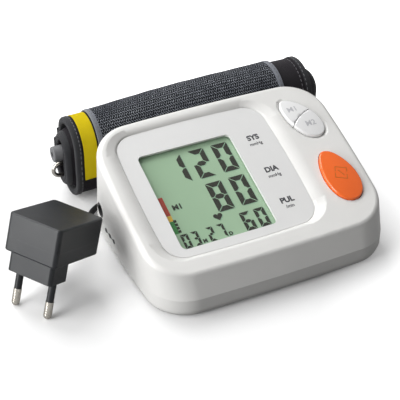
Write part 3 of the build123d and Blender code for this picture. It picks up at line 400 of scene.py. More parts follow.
def printed(name, colour, faded):
    """Printing ink, a little uneven. The same finish also colours the painted shade in the buttons'
    engravings and the painted shadows of the display marks.
    """
    material, tree, shader = start_material(name, Specular_IOR_Level=0.3)
    texture = effect(tree, "grain", {
        "Vector": object_place(tree), "Grain Scale": 3500.0, "Mottle Scale": 400.0})
    mask = calculate(tree, "MULTIPLY", texture.outputs["Grain"], texture.outputs["Mottle"])
    roughness = spread(tree, texture.outputs["Mottle"], 0.0, 1.0, 0.45, 0.65)
    ink = blend_colours(tree, mask, colour, faded)
    connect(tree, shader, ink, roughness, texture.outputs["Grain"], 0.00001, 0.4)
    return material


def make_materials():
    """Every finish, by the name of the material slot that it stands for, or by its own name."""
    white_dust = (0.60, 0.58, 0.55, 1)
    return {
        "shell": moulded("case_plastic", (0.800, 0.795, 0.775, 1), (0.765, 0.760, 0.742, 1),
                         (0.86, 0.86, 0.85, 1), (0.34, 0.44), depth=0.000012, dust_and_shade=0.22,
                         dust_and_shade_colour=white_dust, Coat_Weight=0.10, Coat_Roughness=0.25,
                         Specular_IOR_Level=0.42),
        "panel": moulded("fascia_plastic", (0.775, 0.775, 0.767, 1), (0.748, 0.748, 0.742, 1),
                         (0.82, 0.82, 0.81, 1), (0.28, 0.38), depth=0.000008, dust_and_shade=0.22,
                         dust_and_shade_colour=white_dust, Coat_Weight=0.12, Coat_Roughness=0.2,
                         Specular_IOR_Level=0.42),
        "lens": clear_lens(),
        "lcd": display_green(),
        "lcd_ink": printed("display_ink", (0.010, 0.008, 0.004, 1), (0.022, 0.019, 0.010, 1)),
        # Painted shadows of the display marks: a darker green laid on the display just under the marks.
        "lcd_shadow": printed("display_shadow", (0.270, 0.440, 0.300, 1), (0.300, 0.470, 0.330, 1)),
        "bar_red": printed("scale_red", (0.38, 0.035, 0.018, 1), (0.46, 0.06, 0.03, 1)),
        "bar_yellow": printed("scale_yellow", (0.70, 0.42, 0.04, 1), (0.76, 0.50, 0.08, 1)),
        "bar_green": printed("scale_green", (0.03, 0.20, 0.04, 1), (0.05, 0.27, 0.07, 1)),
        "label_ink": printed("label_ink", (0.045, 0.045, 0.05, 1), (0.11, 0.11, 0.12, 1)),
        # Painted shade: the engraved marks on the buttons are coloured darker than the buttons themselves.
        "button_mark": printed("button_mark", (0.47, 0.47, 0.49, 1), (0.53, 0.53, 0.55, 1)),
        "start_mark": printed("start_mark", (0.50, 0.115, 0.008, 1), (0.58, 0.15, 0.012, 1)),
        "grey_button": moulded("grey_button", (0.840, 0.840, 0.838, 1), (0.800, 0.800, 0.800, 1),
                               (0.86, 0.86, 0.86, 1), (0.16, 0.26), depth=0.000006, wear=0.3, dust_and_shade=0.1,
                               Coat_Weight=0.6, Coat_Roughness=0.08),
        # Painted shade: the orange buttons' corner colour is a deeper orange, so there the corner mask paints
        # shade, not dirt.
        "orange_button": moulded("orange_button", (0.930, 0.145, 0.006, 1), (0.870, 0.128, 0.005, 1),
                                 (1.0, 0.36, 0.10, 1), (0.20, 0.30), depth=0.000006, wear=0.55, dust_and_shade=0.05,
                                 dust_and_shade_colour=(0.45, 0.08, 0.0, 1), Coat_Weight=0.55, Coat_Roughness=0.06),
        "inner_plastic": moulded("inner_plastic", (0.60, 0.60, 0.58, 1), (0.54, 0.54, 0.52, 1),
                                 (0.68, 0.68, 0.66, 1), (0.45, 0.6)),
        "black_plastic": moulded("black_plastic", (0.022, 0.022, 0.024, 1), (0.034, 0.034, 0.036, 1),
                                 (0.09, 0.09, 0.09, 1), (0.4, 0.55)),
        "strip": moulded("contact_rubber", (0.03, 0.03, 0.03, 1), (0.05, 0.05, 0.05, 1),
                         (0.08, 0.08, 0.08, 1), (0.6, 0.8)),
        "board": moulded("solder_mask", (0.015, 0.115, 0.045, 1), (0.020, 0.150, 0.060, 1),
                         (0.25, 0.30, 0.16, 1), (0.25, 0.4), grain=900.0),
        "tube": moulded("silicone_tube", (0.55, 0.54, 0.50, 1), (0.48, 0.47, 0.43, 1),
                        (0.62, 0.60, 0.56, 1), (0.4, 0.55)),
        "cell": moulded("cell_jacket", (0.05, 0.07, 0.10, 1), (0.07, 0.09, 0.12, 1), (0.35, 0.34, 0.30, 1),
                        (0.22, 0.35)),
        "rubber": moulded("foot_rubber", (0.055, 0.055, 0.055, 1), (0.075, 0.075, 0.072, 1),
                          (0.14, 0.14, 0.13, 1), (0.7, 0.9), depth=0.00006),
        "grey_plastic": moulded("air_plug_grey", (0.135, 0.138, 0.145, 1), (0.165, 0.168, 0.175, 1),
                                (0.24, 0.24, 0.25, 1), (0.5, 0.65), depth=0.00004),
        "adapter": moulded("adapter_plastic", (0.010, 0.012, 0.014, 1), (0.015, 0.017, 0.020, 1),
                           (0.075, 0.08, 0.085, 1), (0.36, 0.46), grain=3200.0, depth=0.00005, wear=0.4,
                           dust_and_shade=0.06, dust_and_shade_colour=(0.12, 0.12, 0.12, 1), Specular_IOR_Level=0.45),
        "transformer": moulded("transformer_tape", (0.50, 0.36, 0.05, 1), (0.42, 0.29, 0.04, 1),
                               (0.55, 0.45, 0.20, 1), (0.35, 0.5)),
        "lead": moulded("lead_jacket", (0.016, 0.016, 0.017, 1), (0.026, 0.026, 0.027, 1),
                        (0.07, 0.07, 0.07, 1), (0.38, 0.55), grain=2600.0, depth=0.00003),
        "steel": metal("plated_steel", (0.62, 0.62, 0.60, 1), (0.48, 0.48, 0.46, 1), (0.22, 0.38)),
        "ring_steel": metal("ring_chrome", (0.66, 0.64, 0.60, 1), (0.46, 0.42, 0.36, 1), (0.14, 0.28)),
        "pin_metal": metal("nickel_plate", (0.70, 0.67, 0.61, 1), (0.56, 0.52, 0.46, 1), (0.16, 0.30)),
        "nylon": woven("nylon_cloth", (0.007, 0.006, 0.008, 1), (0.020, 0.017, 0.021, 1), 0.42 * MM,
                       gloss=(0.5, 0.75), Sheen_Weight=0.05, Sheen_Roughness=0.4, Specular_IOR_Level=0.2,
                       Sheen_Tint=(0.45, 0.36, 0.50, 1)),
        "binding": woven("binding_tape", (0.014, 0.0145, 0.017, 1), (0.040, 0.041, 0.045, 1), 0.55 * MM,
                         Sheen_Weight=0.10, Specular_IOR_Level=0.3),
        "yellow": woven("yellow_tape", (0.72, 0.56, 0.010, 1), (0.58, 0.44, 0.006, 1), 0.48 * MM,
                        Specular_IOR_Level=0.1),
        "edging": woven("hook_edging", (0.13, 0.14, 0.165, 1), (0.22, 0.235, 0.27, 1), 0.6 * MM,
                        Sheen_Weight=0.3),
        "hook": hook_pile(),
        "thread": woven("sewing_thread", (0.10, 0.10, 0.11, 1), (0.20, 0.20, 0.21, 1), 0.2 * MM),
    }


# Modelling by hand

def select_only(piece):
    bpy.ops.object.select_all(action="DESELECT")
    piece.select_set(True)
    bpy.context.view_layer.objects.active = piece


def edit(piece):
    """Start edit mode on one piece."""
    select_only(piece)
    bpy.ops.object.mode_set(mode="EDIT")


def leave():
    bpy.ops.object.mode_set(mode="OBJECT")


def apply_modifiers(piece):
    select_only(piece)
    for modifier in list(piece.modifiers):
        bpy.ops.object.modifier_apply(modifier=modifier.name)


def smooth(piece, angle=35.0):
    """Smooth shading with sharp edges kept, and normals led by the large faces."""
    select_only(piece)
    bpy.ops.object.shade_smooth_by_angle(angle=radians(angle))
    weighted = piece.modifiers.new("face_weights", "WEIGHTED_NORMAL")
    weighted.keep_sharp = True
    bpy.ops.object.modifier_apply(modifier=weighted.name)


def dress(piece, material, body="root", slot=None, stands_for=()):
    """Give a finished piece its material and its body, and hide the nodes that it stands for; the slot is not
    used.
    """
    piece.data.materials.clear()
    piece.data.materials.append(finishes[material])
    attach(piece, body)
    if slot is None and material in slots:
        slot = material
    if stands_for:
        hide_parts(*stands_for)
    return piece


def finished_copy(node_name, material=None, body="root", angle=35.0):
    """A rigid node's own shape with its doubles merged and its surface smoothed."""
    source = frame["nodes"][node_name]
    piece = bpy.data.objects.new(f"{node_name}_finished", source.data.copy())
    bpy.context.scene.collection.objects.link(piece)
    edit(piece)
    bpy.ops.mesh.select_all(action="SELECT")
    bpy.ops.mesh.remove_doubles(threshold=0.000001)
    bpy.ops.mesh.dissolve_limited(angle_limit=radians(0.2))
    leave()
    smooth(piece, angle)
    return dress(piece, material or slot_of[node_name], body, slot_of[node_name], [node_name])


def join(name, pieces):
    """Join pieces into one, under a name."""
    bpy.ops.object.select_all(action="DESELECT")
    for piece in pieces:
        piece.select_set(True)
    bpy.context.view_layer.objects.active = pieces[0]
    bpy.ops.object.join()
    pieces[0].name = name
    pieces[0].data.name = name
    return pieces[0]


def plate(name, outline, thickness):
    """A thin plate lying flat: a circle's corners moved to an outline, then extruded upwards."""
    bpy.ops.mesh.primitive_circle_add(vertices=len(outline), radius=1.0, fill_type="NGON")
    piece = bpy.context.object
    piece.name = name
    for corner, (x, y) in zip(piece.data.vertices, outline):
        corner.co = (x, y, 0.0)
    edit(piece)
    bpy.ops.mesh.select_all(action="SELECT")
    bpy.ops.mesh.extrude_region_move(TRANSFORM_OT_translate={"value": (0, 0, thickness)})
    bpy.ops.mesh.select_all(action="SELECT")
    bpy.ops.mesh.normals_make_consistent(inside=False)
    leave()
    return piece


def to_face(piece, x=0.0, v=0.0, height=0.0, turn=0.0):
    """Bake a piece that was made flat at the origin into its place on the sloping face."""
    place = face_place @ Matrix.Translation((x, v, height)) @ Matrix.Rotation(turn, 4, "Z")
    piece.data.transform(place)
    return piece


def lettering(name, text, size, bold=0.0, thickness=0.06 * MM, across="CENTER"):
    """Flat letters as a mesh, lying at the origin."""
    bpy.ops.object.text_add(location=(0, 0, 0))
    piece = bpy.context.object
    piece.data.body = text
    piece.data.size = size
    piece.data.offset = bold
    piece.data.extrude = thickness / 2
    piece.data.align_x = across
    piece.data.align_y = "CENTER"
    piece.data.resolution_u = 4
    bpy.ops.object.convert(target="MESH")
    piece = bpy.context.object
    piece.name = name
    return piece


# The rolled cuff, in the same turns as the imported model: upright runs have even
# numbers and half turns have odd ones, from the outer end at the back inwards

ROLL_LEFT = -64.5
ROLL_FULL = 5.0
ROLL_RIGHT = 75.0
INNER_LEFT = -69.0
INNER_RIGHT = 84.0
LEFT_MIDDLE, RIGHT_MIDDLE = 72.0, 75.4
LEFT_RADIUS, RIGHT_RADIUS = 15.0, 18.0
LEFT_HALF, RIGHT_HALF = 8.5, 6.0
FLOOR_GAP = 0.7
CLOTH = 2.6
HALF_PITCH = 1.5
WRAP_SPAN = (0, 3)
CORE_SPAN = (4, 11)
PANEL_SPAN = (2, 3)

# Where the inner turns begin to curl in at each end, over what length and by what share
OPEN_FROM, OPEN_OVER, OPEN_PULL = -52.0, 17.0, 0.20
CLOSED_FROM, CLOSED_OVER, CLOSED_PULL = 70.0, 14.0, 0.42


def roll_sizes(x):
    """Middle, outer radius and half straight height of the roll at a place along it, in mm."""
    share = min(max((x - ROLL_LEFT) / (ROLL_FULL - ROLL_LEFT), -0.1), 1.0)
    ends = ((LEFT_MIDDLE, RIGHT_MIDDLE), (LEFT_RADIUS, RIGHT_RADIUS), (LEFT_HALF, RIGHT_HALF))
    return [left + (right - left) * share for left, right in ends]


def roll_point(x, run, share):
    """A point of the wound path in mm and its outward direction, at a share of one run."""
    turn = run // 2
    middle, radius, half = roll_sizes(x)
    low = radius + FLOOR_GAP
    high = low + 2 * half
    below = turn % 2 == 0
    side = 1 if below else -1
    centre = middle if below else middle - HALF_PITCH
    reach = radius - turn * HALF_PITCH
    level = low if below else high
    other = high if below else low
    if run % 2 == 0:
        return Vector((x, centre + side * reach, other + (level - other) * share)), Vector((0, side, 0))
    turned = pi * share
    out = Vector((0, side * cos(turned), -side * sin(turned)))
    return Vector((x, centre, level)) + reach * out, out


def roll_rows(span, step):
    """Stations along a span of runs: run, share of it, and the distance gone, in mm."""
    rows = []
    gone = 0.0
    for run in range(span[0], span[1] + 1):
        length = 2 * RIGHT_HALF if run % 2 == 0 else pi * (RIGHT_RADIUS - run // 2 * HALF_PITCH)
        count = max(2, round(length / step))
        for index in range(count):
            rows.append((run, index / count, gone + length * index / count))
        gone += length
    rows.append((span[1], 1.0, gone))
    return rows


def slack(place):
    """How far the cloth gives inwards at a place in mm: broad hollows and small ripples."""
    broad = noise(place / 26.0)
    fine = noise(place / 9.0 + Vector((7, 3, 1)))
    return -0.35 + 0.55 * broad + 0.14 * fine


def wound(x, run, share, lift):
    """A point on the slack cloth, at a height over its outer face, in mm."""
    place, out = roll_point(x, run, share)
    return place + out * (lift + slack(place))


def core_wound(x, run, share, lift):
    """The inner turns, which curl in at both ends and lean apart at the open left one."""
    place = wound(x, run, share, lift)
    open_end = min(max((OPEN_FROM - x) / OPEN_OVER, 0.0), 1.0) ** 2
    closed_end = min(max((x - CLOSED_FROM) / CLOSED_OVER, 0.0), 1.0) ** 2
    middle, radius, half = roll_sizes(x)
    hub = Vector((x, middle, radius + FLOOR_GAP + half))
    pull = OPEN_PULL + 0.10 * noise(Vector((run + share, 2.0, 5.0)) * 0.8)
    drop = 1.8 * open_end * max(0.0, noise(Vector((0.4, run + share, 1.0))) + 0.3)
    place += (hub - place) * (open_end * pull + closed_end * CLOSED_PULL)
    place.z -= drop
    return place


def grid(name, columns, rows, place_of):
    """A grid whose corners go where the rule says, with its flat map in metres."""
    bpy.ops.mesh.primitive_grid_add(x_subdivisions=len(columns) - 1, y_subdivisions=len(rows) - 1, size=1.0,
                                    calc_uvs=True)
    piece = bpy.context.object
    piece.name = name
    last_column = len(columns) - 1
    last_row = len(rows) - 1
    for corner in piece.data.vertices:
        column = columns[round((corner.co.x + 0.5) * last_column)]
        row = rows[round((corner.co.y + 0.5) * last_row)]
        corner.co = place_of(column, row) * MM
    layer = piece.data.uv_layers[0]
    layer.name = "flat"
    for loop in layer.data:
        column = columns[round(loop.uv.x * last_column)]
        row = rows[round(loop.uv.y * last_row)]
        loop.uv = (column[-1] * MM, row[-1] * MM)
    return piece


def thicken(piece, thickness, rounding):
    """Cloth thickness under the face, with soft edges."""
    solid = piece.modifiers.new("thickness", "SOLIDIFY")
    solid.thickness = thickness * MM
    solid.offset = -1.0
    solid.use_even_offset = True
    soft = piece.modifiers.new("soft_edge", "BEVEL")
    soft.width = rounding * MM
    soft.segments = 3
    soft.limit_method = "ANGLE"
    soft.angle_limit = radians(60)
    apply_modifiers(piece)
    smooth(piece, 50)


def stations(left, right, step):
    """Places along the roll, each with its flat distance, in mm."""
    count = max(2, round((right - left) / step))
    return [(left + (right - left) * index / count,) for index in range(count + 1)]


def wound_cloth(name, material, left, right, span, steps, lift, thickness, rounding, rule=wound, nodes=()):
    rows = roll_rows(span, steps[1])
    piece = grid(name, stations(left, right, steps[0]), rows, lambda c, r: rule(c[0], r[0], r[1], lift))
    thicken(piece, thickness, rounding)
    return dress(piece, material, stands_for=nodes)


def edge_tape(name, material, edge, side, span, rule=wound, width=3.0, lifts=(0.55, -2.95), nodes=()):
    """A tape folded over the cloth's edge, from its outer face round to its inner one."""
    outer, inner = lifts
    profile = [(width, outer - 0.15), (width * 0.55, outer), (0.25, outer - 0.05), (-0.3, outer - 0.4),
               (-0.5, outer - 1.1), (-0.5, inner + 1.0), (-0.3, inner + 0.35), (0.25, inner + 0.05),
               (width, inner + 0.1)]
    if side < 0:
        profile.reverse()
    gone = 0.0
    columns = []
    for index, (inset, lift) in enumerate(profile):
        if index:
            gone += hypot(inset - profile[index - 1][0], lift - profile[index - 1][1])
        columns.append((edge - side * inset, lift, gone))
    rows = roll_rows(span, 1.6)
    piece = grid(name, columns, rows, lambda c, r: rule(c[0], r[0], r[1], c[1]))
    thicken(piece, 0.28, 0.1)
    return dress(piece, material, stands_for=nodes)


def stitches(name, x, span, lift, pitch=2.6, rule=wound, across=0.0):
    """Short stitches in a row round the roll, each a rounded dash that lies on the cloth."""
    rows = roll_rows(span, pitch)
    dashes = bmesh.new()
    for (run, share, _), (next_run, next_share, _) in zip(rows[:-1], rows[1:]):
        start = rule(x, run, share, lift)
        end = rule(x + across, next_run, next_share, lift)
        along = end - start
        turn = along.to_track_quat("X", "Z").to_matrix().to_4x4()
        place = Matrix.Translation((start + along / 2) * MM) @ turn
        form = Matrix.Diagonal((along.length * 0.36 * MM, 0.26 * MM, 0.22 * MM, 1.0))
        bmesh.ops.create_uvsphere(dashes, u_segments=8, v_segments=6, radius=1.0, matrix=place @ form)
    mesh = bpy.data.meshes.new(name)
    dashes.to_mesh(mesh)
    dashes.free()
    piece = bpy.data.objects.new(name, mesh)
    bpy.context.scene.collection.objects.link(piece)
    mesh.uv_layers.new(name="flat")
    smooth(piece, 60)
    return dress(piece, "thread")


def make_cuff():
    cloths = [
        wound_cloth("cuff_outer_cloth", "nylon", ROLL_LEFT, ROLL_RIGHT, WRAP_SPAN, (1.5, 1.3),
                    0.0, CLOTH, 0.9, nodes=["cuff_wrap"]),
        wound_cloth("cuff_inner_cloth", "nylon", INNER_LEFT, INNER_RIGHT, CORE_SPAN, (1.9, 1.6),
                    0.0, CLOTH, 0.9, rule=core_wound, nodes=["cuff_inner"]),
    ]
    wound_cloth("hook_pile_panel", "hook", -50.5, 58.5, PANEL_SPAN, (1.4, 1.2), 1.15, 1.0, 0.45,
                nodes=["hook_panel"])
    wound_cloth("yellow_index_band", "yellow", -60.5, -53.0, PANEL_SPAN, (0.9, 1.2), 0.5, 0.42, 0.15,
                nodes=["index_band"])
    wound_cloth("hook_edging_left", "edging", -52.2, -49.4, PANEL_SPAN, (0.7, 1.2), 1.3, 0.9, 0.3)
    wound_cloth("hook_edging_right", "edging", 55.8, 58.8, PANEL_SPAN, (0.7, 1.2), 1.3, 0.9, 0.3)
    edge_tape("left_binding_tape", "binding", ROLL_LEFT, -1, WRAP_SPAN, nodes=["edge_binding_left"])
    edge_tape("right_binding_tape", "binding", ROLL_RIGHT, 1, WRAP_SPAN, nodes=["edge_binding_right"])
    edge_tape("left_core_tape", "binding", INNER_LEFT + 0.6, -1, CORE_SPAN, rule=core_wound, width=2.6,
              lifts=(0.3, -2.85))
    outer_core_span = (4, 7)
    edge_tape("right_core_tape", "binding", INNER_RIGHT - 0.6, 1, outer_core_span, rule=core_wound, width=2.6,
              lifts=(0.3, -2.85))
    stitches("left_binding_stitches", ROLL_LEFT + 2.3, (1, 3), 0.5)
    stitches("right_binding_stitches", ROLL_RIGHT - 2.3, (1, 3), 0.5)
    stitches("hook_stitches_left", -50.9, PANEL_SPAN, 1.28, across=0.5)
    stitches("hook_stitches_right", 57.2, PANEL_SPAN, 1.28, across=0.5)
    stitches("cloth_stitches_right", 70.2, (1, 3), 0.02)


def add_flat_map(piece):
    """A flat map in metres for a folded strip that runs along the roll."""
    layer = piece.data.uv_layers.new(name="flat")
    for loop in piece.data.loops:
        corner = piece.data.vertices[loop.vertex_index].co
        layer.data[loop.index].uv = (corner.x, corner.y + corner.z)


def make_hem():
    """The hem of the ring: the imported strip, softened and given its weave."""
    piece = finished_copy("ring_hem", "nylon", angle=60)
    soft = piece.modifiers.new("soft_edge", "BEVEL")
    soft.width = 0.25 * MM
    soft.segments = 2
    soft.limit_method = "ANGLE"
    apply_modifiers(piece)
    add_flat_map(piece)


# The display

DIGIT_STROKES = {
    "0": "abcdef", "1": "bc", "2": "abged", "3": "abgcd", "6": "acdefg", "7": "abc", "8": "abcdefg",
}


def stroke_outline(stroke, w, h, t, g):
    """Outline of one stroke of a digit of width w and height h: mitred, with a gap g between strokes."""
    m = h / 2
    top = [(g, h), (t + g, h - t), (w - t - g, h - t), (w - g, h)]
    right = [(w, h - g), (w - t, h - t - g), (w - t, m + t / 2 + g), (w - t / 2, m + g), (w, m + g)]
    bar = [(g + t / 2, m), (t + g, m - t / 2), (w - t - g, m - t / 2), (w - t / 2 - g, m),
           (w - t - g, m + t / 2), (t + g, m + t / 2)]
    lines = {
        "a": top,
        "b": right,
        "c": [(x, h - y) for x, y in right],
        "d": [(x, h - y) for x, y in top],
        "e": [(w - x, h - y) for x, y in right],
        "f": [(w - x, y) for x, y in right],
        "g": bar,
    }
    return lines[stroke]


def on_glass(outline, x, v, height, thickness=0.03):
    outline = [(px * MM, py * MM) for px, py in outline]
    return to_face(plate("mark", outline, thickness * MM), x * MM, v * MM, -GLASS_TOP + height * MM)


def digit(symbol, left, right, top, bottom, stroke, height):
    """The strokes of one digit between its edges on the face, in mm."""
    w, h = right - left, top - bottom
    gap = 0.10 * stroke
    return [on_glass(stroke_outline(name, w, h, stroke, gap), left, bottom, height)
            for name in DIGIT_STROKES[symbol]]


def circle(radius, count=24):
    turns = [2 * pi * index / count for index in range(count)]
    return [(radius * cos(t), radius * sin(t)) for t in turns]


def heart(width, count=28):
    """A heart outline by its usual curve."""
    scale = width / 32
    turns = [2 * pi * index / count for index in range(count)]
    return [(scale * 16 * sin(t) ** 3, scale * (13 * cos(t) - 5 * cos(2 * t) - 2 * cos(3 * t) - cos(4 * t)))
            for t in turns]


def box_outline(width, height):
    return [(0, 0), (width, 0), (width, height), (0, height)]


def display_marks(height, shift):
    """All dark marks on the glass: three readings, the heart, the date and the memory mark."""
    x, v = shift
    marks = []
    big = 2.85
    for symbol, left, right in (("1", -31.0, -22.2), ("2", -17.9, -9.2), ("0", -4.9, 3.9)):
        marks += digit(symbol, left + x, right + x, 22.6 + v, 4.8 + v, big, height)
    for symbol, left, right in (("8", -17.6, -8.9), ("0", -4.9, 3.9)):
        marks += digit(symbol, left + x, right + x, 1.2 + v, -16.5 + v, big, height)
    for symbol, left, right in (("6", -8.9, -3.3), ("0", -1.2, 4.4)):
        marks += digit(symbol, left + x, right + x, -20.1 + v, -31.1 + v, 1.85, height)
    date = (("0", -41.6, -37.8), ("3", -36.4, -32.8), ("2", -28.3, -24.8), ("7", -22.6, -19.0))
    for symbol, left, right in date:
        marks += digit(symbol, left + x, right + x, -22.8 + v, -31.0 + v, 1.30, height)
    marks.append(on_glass(heart(4.8), -19.2 + x, -18.6 + v, height))
    letters_at = (("M", -31.0, -29.6, 2.7), ("D", -17.3, -29.6, 2.7), ("M1", -36.0, -7.2, 4.2))
    for text, at_x, at_v, size in letters_at:
        letters = lettering("mark", text, size * MM, 0.16 * MM, 0.03 * MM)
        marks.append(to_face(letters, (at_x + x) * MM, (at_v + v) * MM, -GLASS_TOP + (height + 0.015) * MM))
    return marks


def make_display():
    dress(join("lcd_marks", display_marks(0.035, (0, 0))), "lcd_ink", slot="lcd")
    # The same marks again, shifted and set lower in a darker green: their painted shadows on the display.
    dress(join("lcd_mark_shadows", display_marks(0.002, (0.32, -0.42))), "lcd_shadow", slot="lcd")
    for name, material, low, high in (
        ("level_red", "bar_red", -10.8, 0.4),
        ("level_yellow", "bar_yellow", -14.2, -10.95),
        ("level_green", "bar_green", -21.7, -14.35),
    ):
        bar = on_glass(box_outline(2.9, high - low), -43.9, low, 0.02)
        bar.name = name
        dress(bar, material, slot="lcd")
    steps = [on_glass(box_outline(1.5, 1.5), -41.3, -21.5 + 2.05 * index, 0.035) for index in range(4)]
    dress(join("level_steps", steps), "lcd_ink", slot="lcd")


def make_labels():
    """The plain lettering beside the readings, on the panel."""
    labels = []
    for text, x, v, size, bold in (
        ("SYS", 17.5, 19.2, 4.3, 0.19), ("mmHg", 17.5, 15.2, 2.6, 0.05),
        ("DIA", 17.8, -1.9, 4.3, 0.19), ("mmHg", 17.8, -5.9, 2.6, 0.05),
        ("PUL", 16.9, -21.6, 4.3, 0.19), ("/min", 16.9, -25.4, 2.6, 0.05),
    ):
        letters = lettering("label", text, size * MM, bold * MM)
        labels.append(to_face(letters, x * MM, v * MM, -PANEL_DROP + 0.01 * MM))
    dress(join("panel_labels", labels), "label_ink", slot="panel")


def to_dome(piece, place, turn, crown, proud, dome):
    """Lay a flat mark over a button cap: its place, turn, and the dome's crown, height and radius in mm."""
    x, v = place
    piece.data.transform(Matrix.Translation((x * MM, v * MM, 0)) @ Matrix.Rotation(turn, 4, "Z"))
    for corner in piece.data.vertices:
        away = hypot(corner.co.x / MM - crown[0], corner.co.y / MM - crown[1])
        corner.co.z += (proud - away ** 2 / (2 * dome)) * MM
    piece.data.transform(face_place)
    return piece


def bar_between(start, end, width, thickness=0.05):
    """A thin straight bar lying flat between two points, in mm."""
    along = Vector(end) - Vector(start)
    across = Vector((-along.y, along.x)).normalized() * (width / 2)
    reach = along.normalized() * (width / 2)
    corners = [Vector(start) - reach - across, Vector(end) + reach - across,
               Vector(end) + reach + across, Vector(start) - reach + across]
    return plate("bar", [(corner.x * MM, corner.y * MM) for corner in corners], thickness * MM)


def make_button_marks():
    """Small marks on the three buttons that look engraved: the shade in the engraving is painted, darker grey
    on the memory buttons and deeper orange on the start button.
    """
    for name, text, body, x, v in (
        ("memory_mark_1", "M1", "memory_button_1", 43.9, 27.6),
        ("memory_mark_2", "M2", "memory_button_2", 49.2, 16.6),
    ):
        letters = lettering(name, text, 4.6 * MM, 0.05 * MM, 0.1 * MM)
        to_dome(letters, (x, v), 0.0, (46.7, 21.9), 1.7, 100.0)
        dress(letters, "button_mark", body, slot="grey_button")
    wide, high, line = 6.0, 6.6, 0.5
    frame_bars = [
        bar_between((-wide / 2, -high / 2), (wide / 2, -high / 2), line),
        bar_between((wide / 2, -high / 2), (wide / 2, high / 2), line),
        bar_between((wide / 2, high / 2), (-wide / 2, high / 2), line),
        bar_between((-wide / 2, high / 2), (-wide / 2, -high / 2), line),
        bar_between((-wide / 4, high / 5), (wide / 4, -high / 5), line),
    ]
    icon = join("start_mark", frame_bars)
    to_dome(icon, (48.9, -17.6), radians(-24), (48.4, -17.6), 2.3, 110.0)
    dress(icon, "start_mark", "start_button", slot="orange_button")


def make_wall_sign():
    """The plain sign of the socket's polarity on the left wall."""
    wall = Matrix((
        (0, 0, -1, ROLL_LEFT * MM + 0.02 * MM), (-1, 0, 0, 14.0 * MM), (0, 1, 0, 10.6 * MM), (0, 0, 0, 1)))
    parts = []
    for x in (-5.2, 0.0, 5.2):
        disc = plate("sign", [(px * MM, py * MM) for px, py in circle(1.25)], 0.08 * MM)
        disc.data.transform(Matrix.Translation((x * MM, 0, 0)))
        parts.append(disc)
    for x in (-2.6, 2.6):
        corners = ((-1.2, -0.13), (1.2, -0.13), (1.2, 0.13), (-1.2, 0.13))
        bar = plate("sign", [(px * MM, py * MM) for px, py in corners], 0.08 * MM)
        bar.data.transform(Matrix.Translation((x * MM, 0, 0)))
        parts.append(bar)
    sign = join("polarity_sign", parts)
    sign.data.transform(wall)
    dress(sign, "label_ink", slot="shell")


# The lead of the adapter: from the strain relief round the cuff to its tied coil and plug

LEAD_DIAMETER = 3.0
COIL_CENTRE = (45.0, 119.0)


def coil_points():
    """Turns of the tied coil: three columns and four layers, stepped where the lead joins."""
    per_turn = 16
    start = radians(68)
    columns = (20.2, 17.1, 14.0)
    layers = (2.2, 5.1, 8.0, 10.9)
    winding = [(0, 0), (1, 0), (2, 0), (2, 1), (1, 1), (0, 1),
               (1, 2), (2, 2), (2, 3), (1, 3), (0, 2), (0, 2)]
    turns = 11.14
    points = []
    for index in range(int(turns * per_turn) + 1):
        gone = index / per_turn
        turn = min(int(gone), 10)
        share = min(max((gone - turn - 0.82) / 0.18, 0.0), 1.0)
        (column, layer), (next_column, next_layer) = winding[turn], winding[turn + 1]
        radius = columns[column] + (columns[next_column] - columns[column]) * share
        level = layers[layer] + (layers[next_layer] - layers[layer]) * share
        angle = start + 2 * pi * gone
        loose = max(0.0, sin(angle))
        radius += 0.25 * loose * sin(5.1 * gone)
        x = COIL_CENTRE[0] + 1.04 * radius * cos(angle)
        y = COIL_CENTRE[1] + (0.85 if sin(angle) > 0 else 1.0) * radius * sin(angle)
        points.append((x, y, level))
    return points


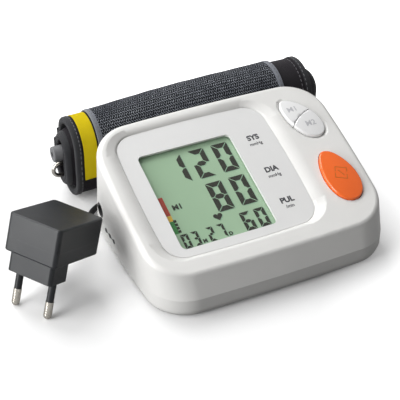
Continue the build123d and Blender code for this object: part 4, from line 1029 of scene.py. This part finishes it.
LEAD_START = [
    (-78.835, 21.925, 14.451), (-71.84, 26.486, 11.094), (-66.6, 37.4, 4.7), (-63.0, 47.2, 1.5),
    (-54.6, 53.6, 1.5), (-38.0, 54.9, 1.5), (-10.0, 55.4, 1.5), (20.0, 55.1, 1.5), (45.0, 54.2, 1.5),
    (63.0, 53.9, 1.5),
    (77.0, 57.4, 1.5), (86.0, 67.5, 1.5), (88.6, 81.5, 1.5), (87.2, 97.0, 1.5), (82.0, 112.0, 1.5),
    (73.0, 126.0, 1.5), (62.5, 133.4, 1.7),
]
LEAD_END = [(25.0, 129.9, 6.8), (13.2, 124.7, 4.5), (2.6, 120.0, 4.3)]


def make_lead():
    data = bpy.data.curves.new("adapter_lead", "CURVE")
    data.dimensions = "3D"
    data.bevel_depth = LEAD_DIAMETER / 2 * MM
    data.bevel_resolution = 5
    data.resolution_u = 6
    data.use_fill_caps = True
    points = LEAD_START + coil_points() + LEAD_END
    spline = data.splines.new("NURBS")
    spline.points.add(len(points) - 1)
    for control, place in zip(spline.points, points):
        control.co = (place[0] * MM, place[1] * MM, place[2] * MM, 1.0)
    spline.use_endpoint_u = True
    spline.order_u = 3
    lead = bpy.data.objects.new("adapter_lead", data)
    bpy.context.scene.collection.objects.link(lead)
    dress(lead, "lead", stands_for=["dc_cord", "dc_cord_coil", "dc_cord_tail"])
    rigid_ends = ("strain_relief", "dc_plug_grip", "dc_plug_barrel", "coil_tie")
    on_it = [finished_copy(name) for name in rigid_ends]


# The whole set

slot_of = {part["node"]: part["material_slot"] for part in frame["record"]["subparts"]}
slots = set(slot_of.values())
body_of = {name: body for body, names in frame["record"]["behaviour"]["bodies"].items() for name in names}
OUTSIDE = [
    "top_shell", "bottom_shell", "display_panel", "memory_button_1", "memory_button_2", "start_button",
    "battery_door", "rubber_feet", "cuff_ring", "air_plug", "adapter_top_case", "adapter_base_case",
    "plug_pins", "pin_sleeves",
]


def make_case_and_rigid_parts():
    for name in OUTSIDE:
        finished_copy(name, body=body_of[name])


def finish_inner_parts():
    """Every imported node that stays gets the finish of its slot."""
    for name, part in frame["nodes"].items():
        if part.material_slots:
            part.material_slots[0].material = finishes[slot_of[name]]
        else:
            part.data.materials.append(finishes[slot_of[name]])


finishes = make_materials()
make_camera()
make_studio()
make_floor()
finish_inner_parts()
make_lead()
make_case_and_rigid_parts()
make_cuff()
make_hem()
make_display()
make_labels()
make_button_marks()
make_wall_sign()
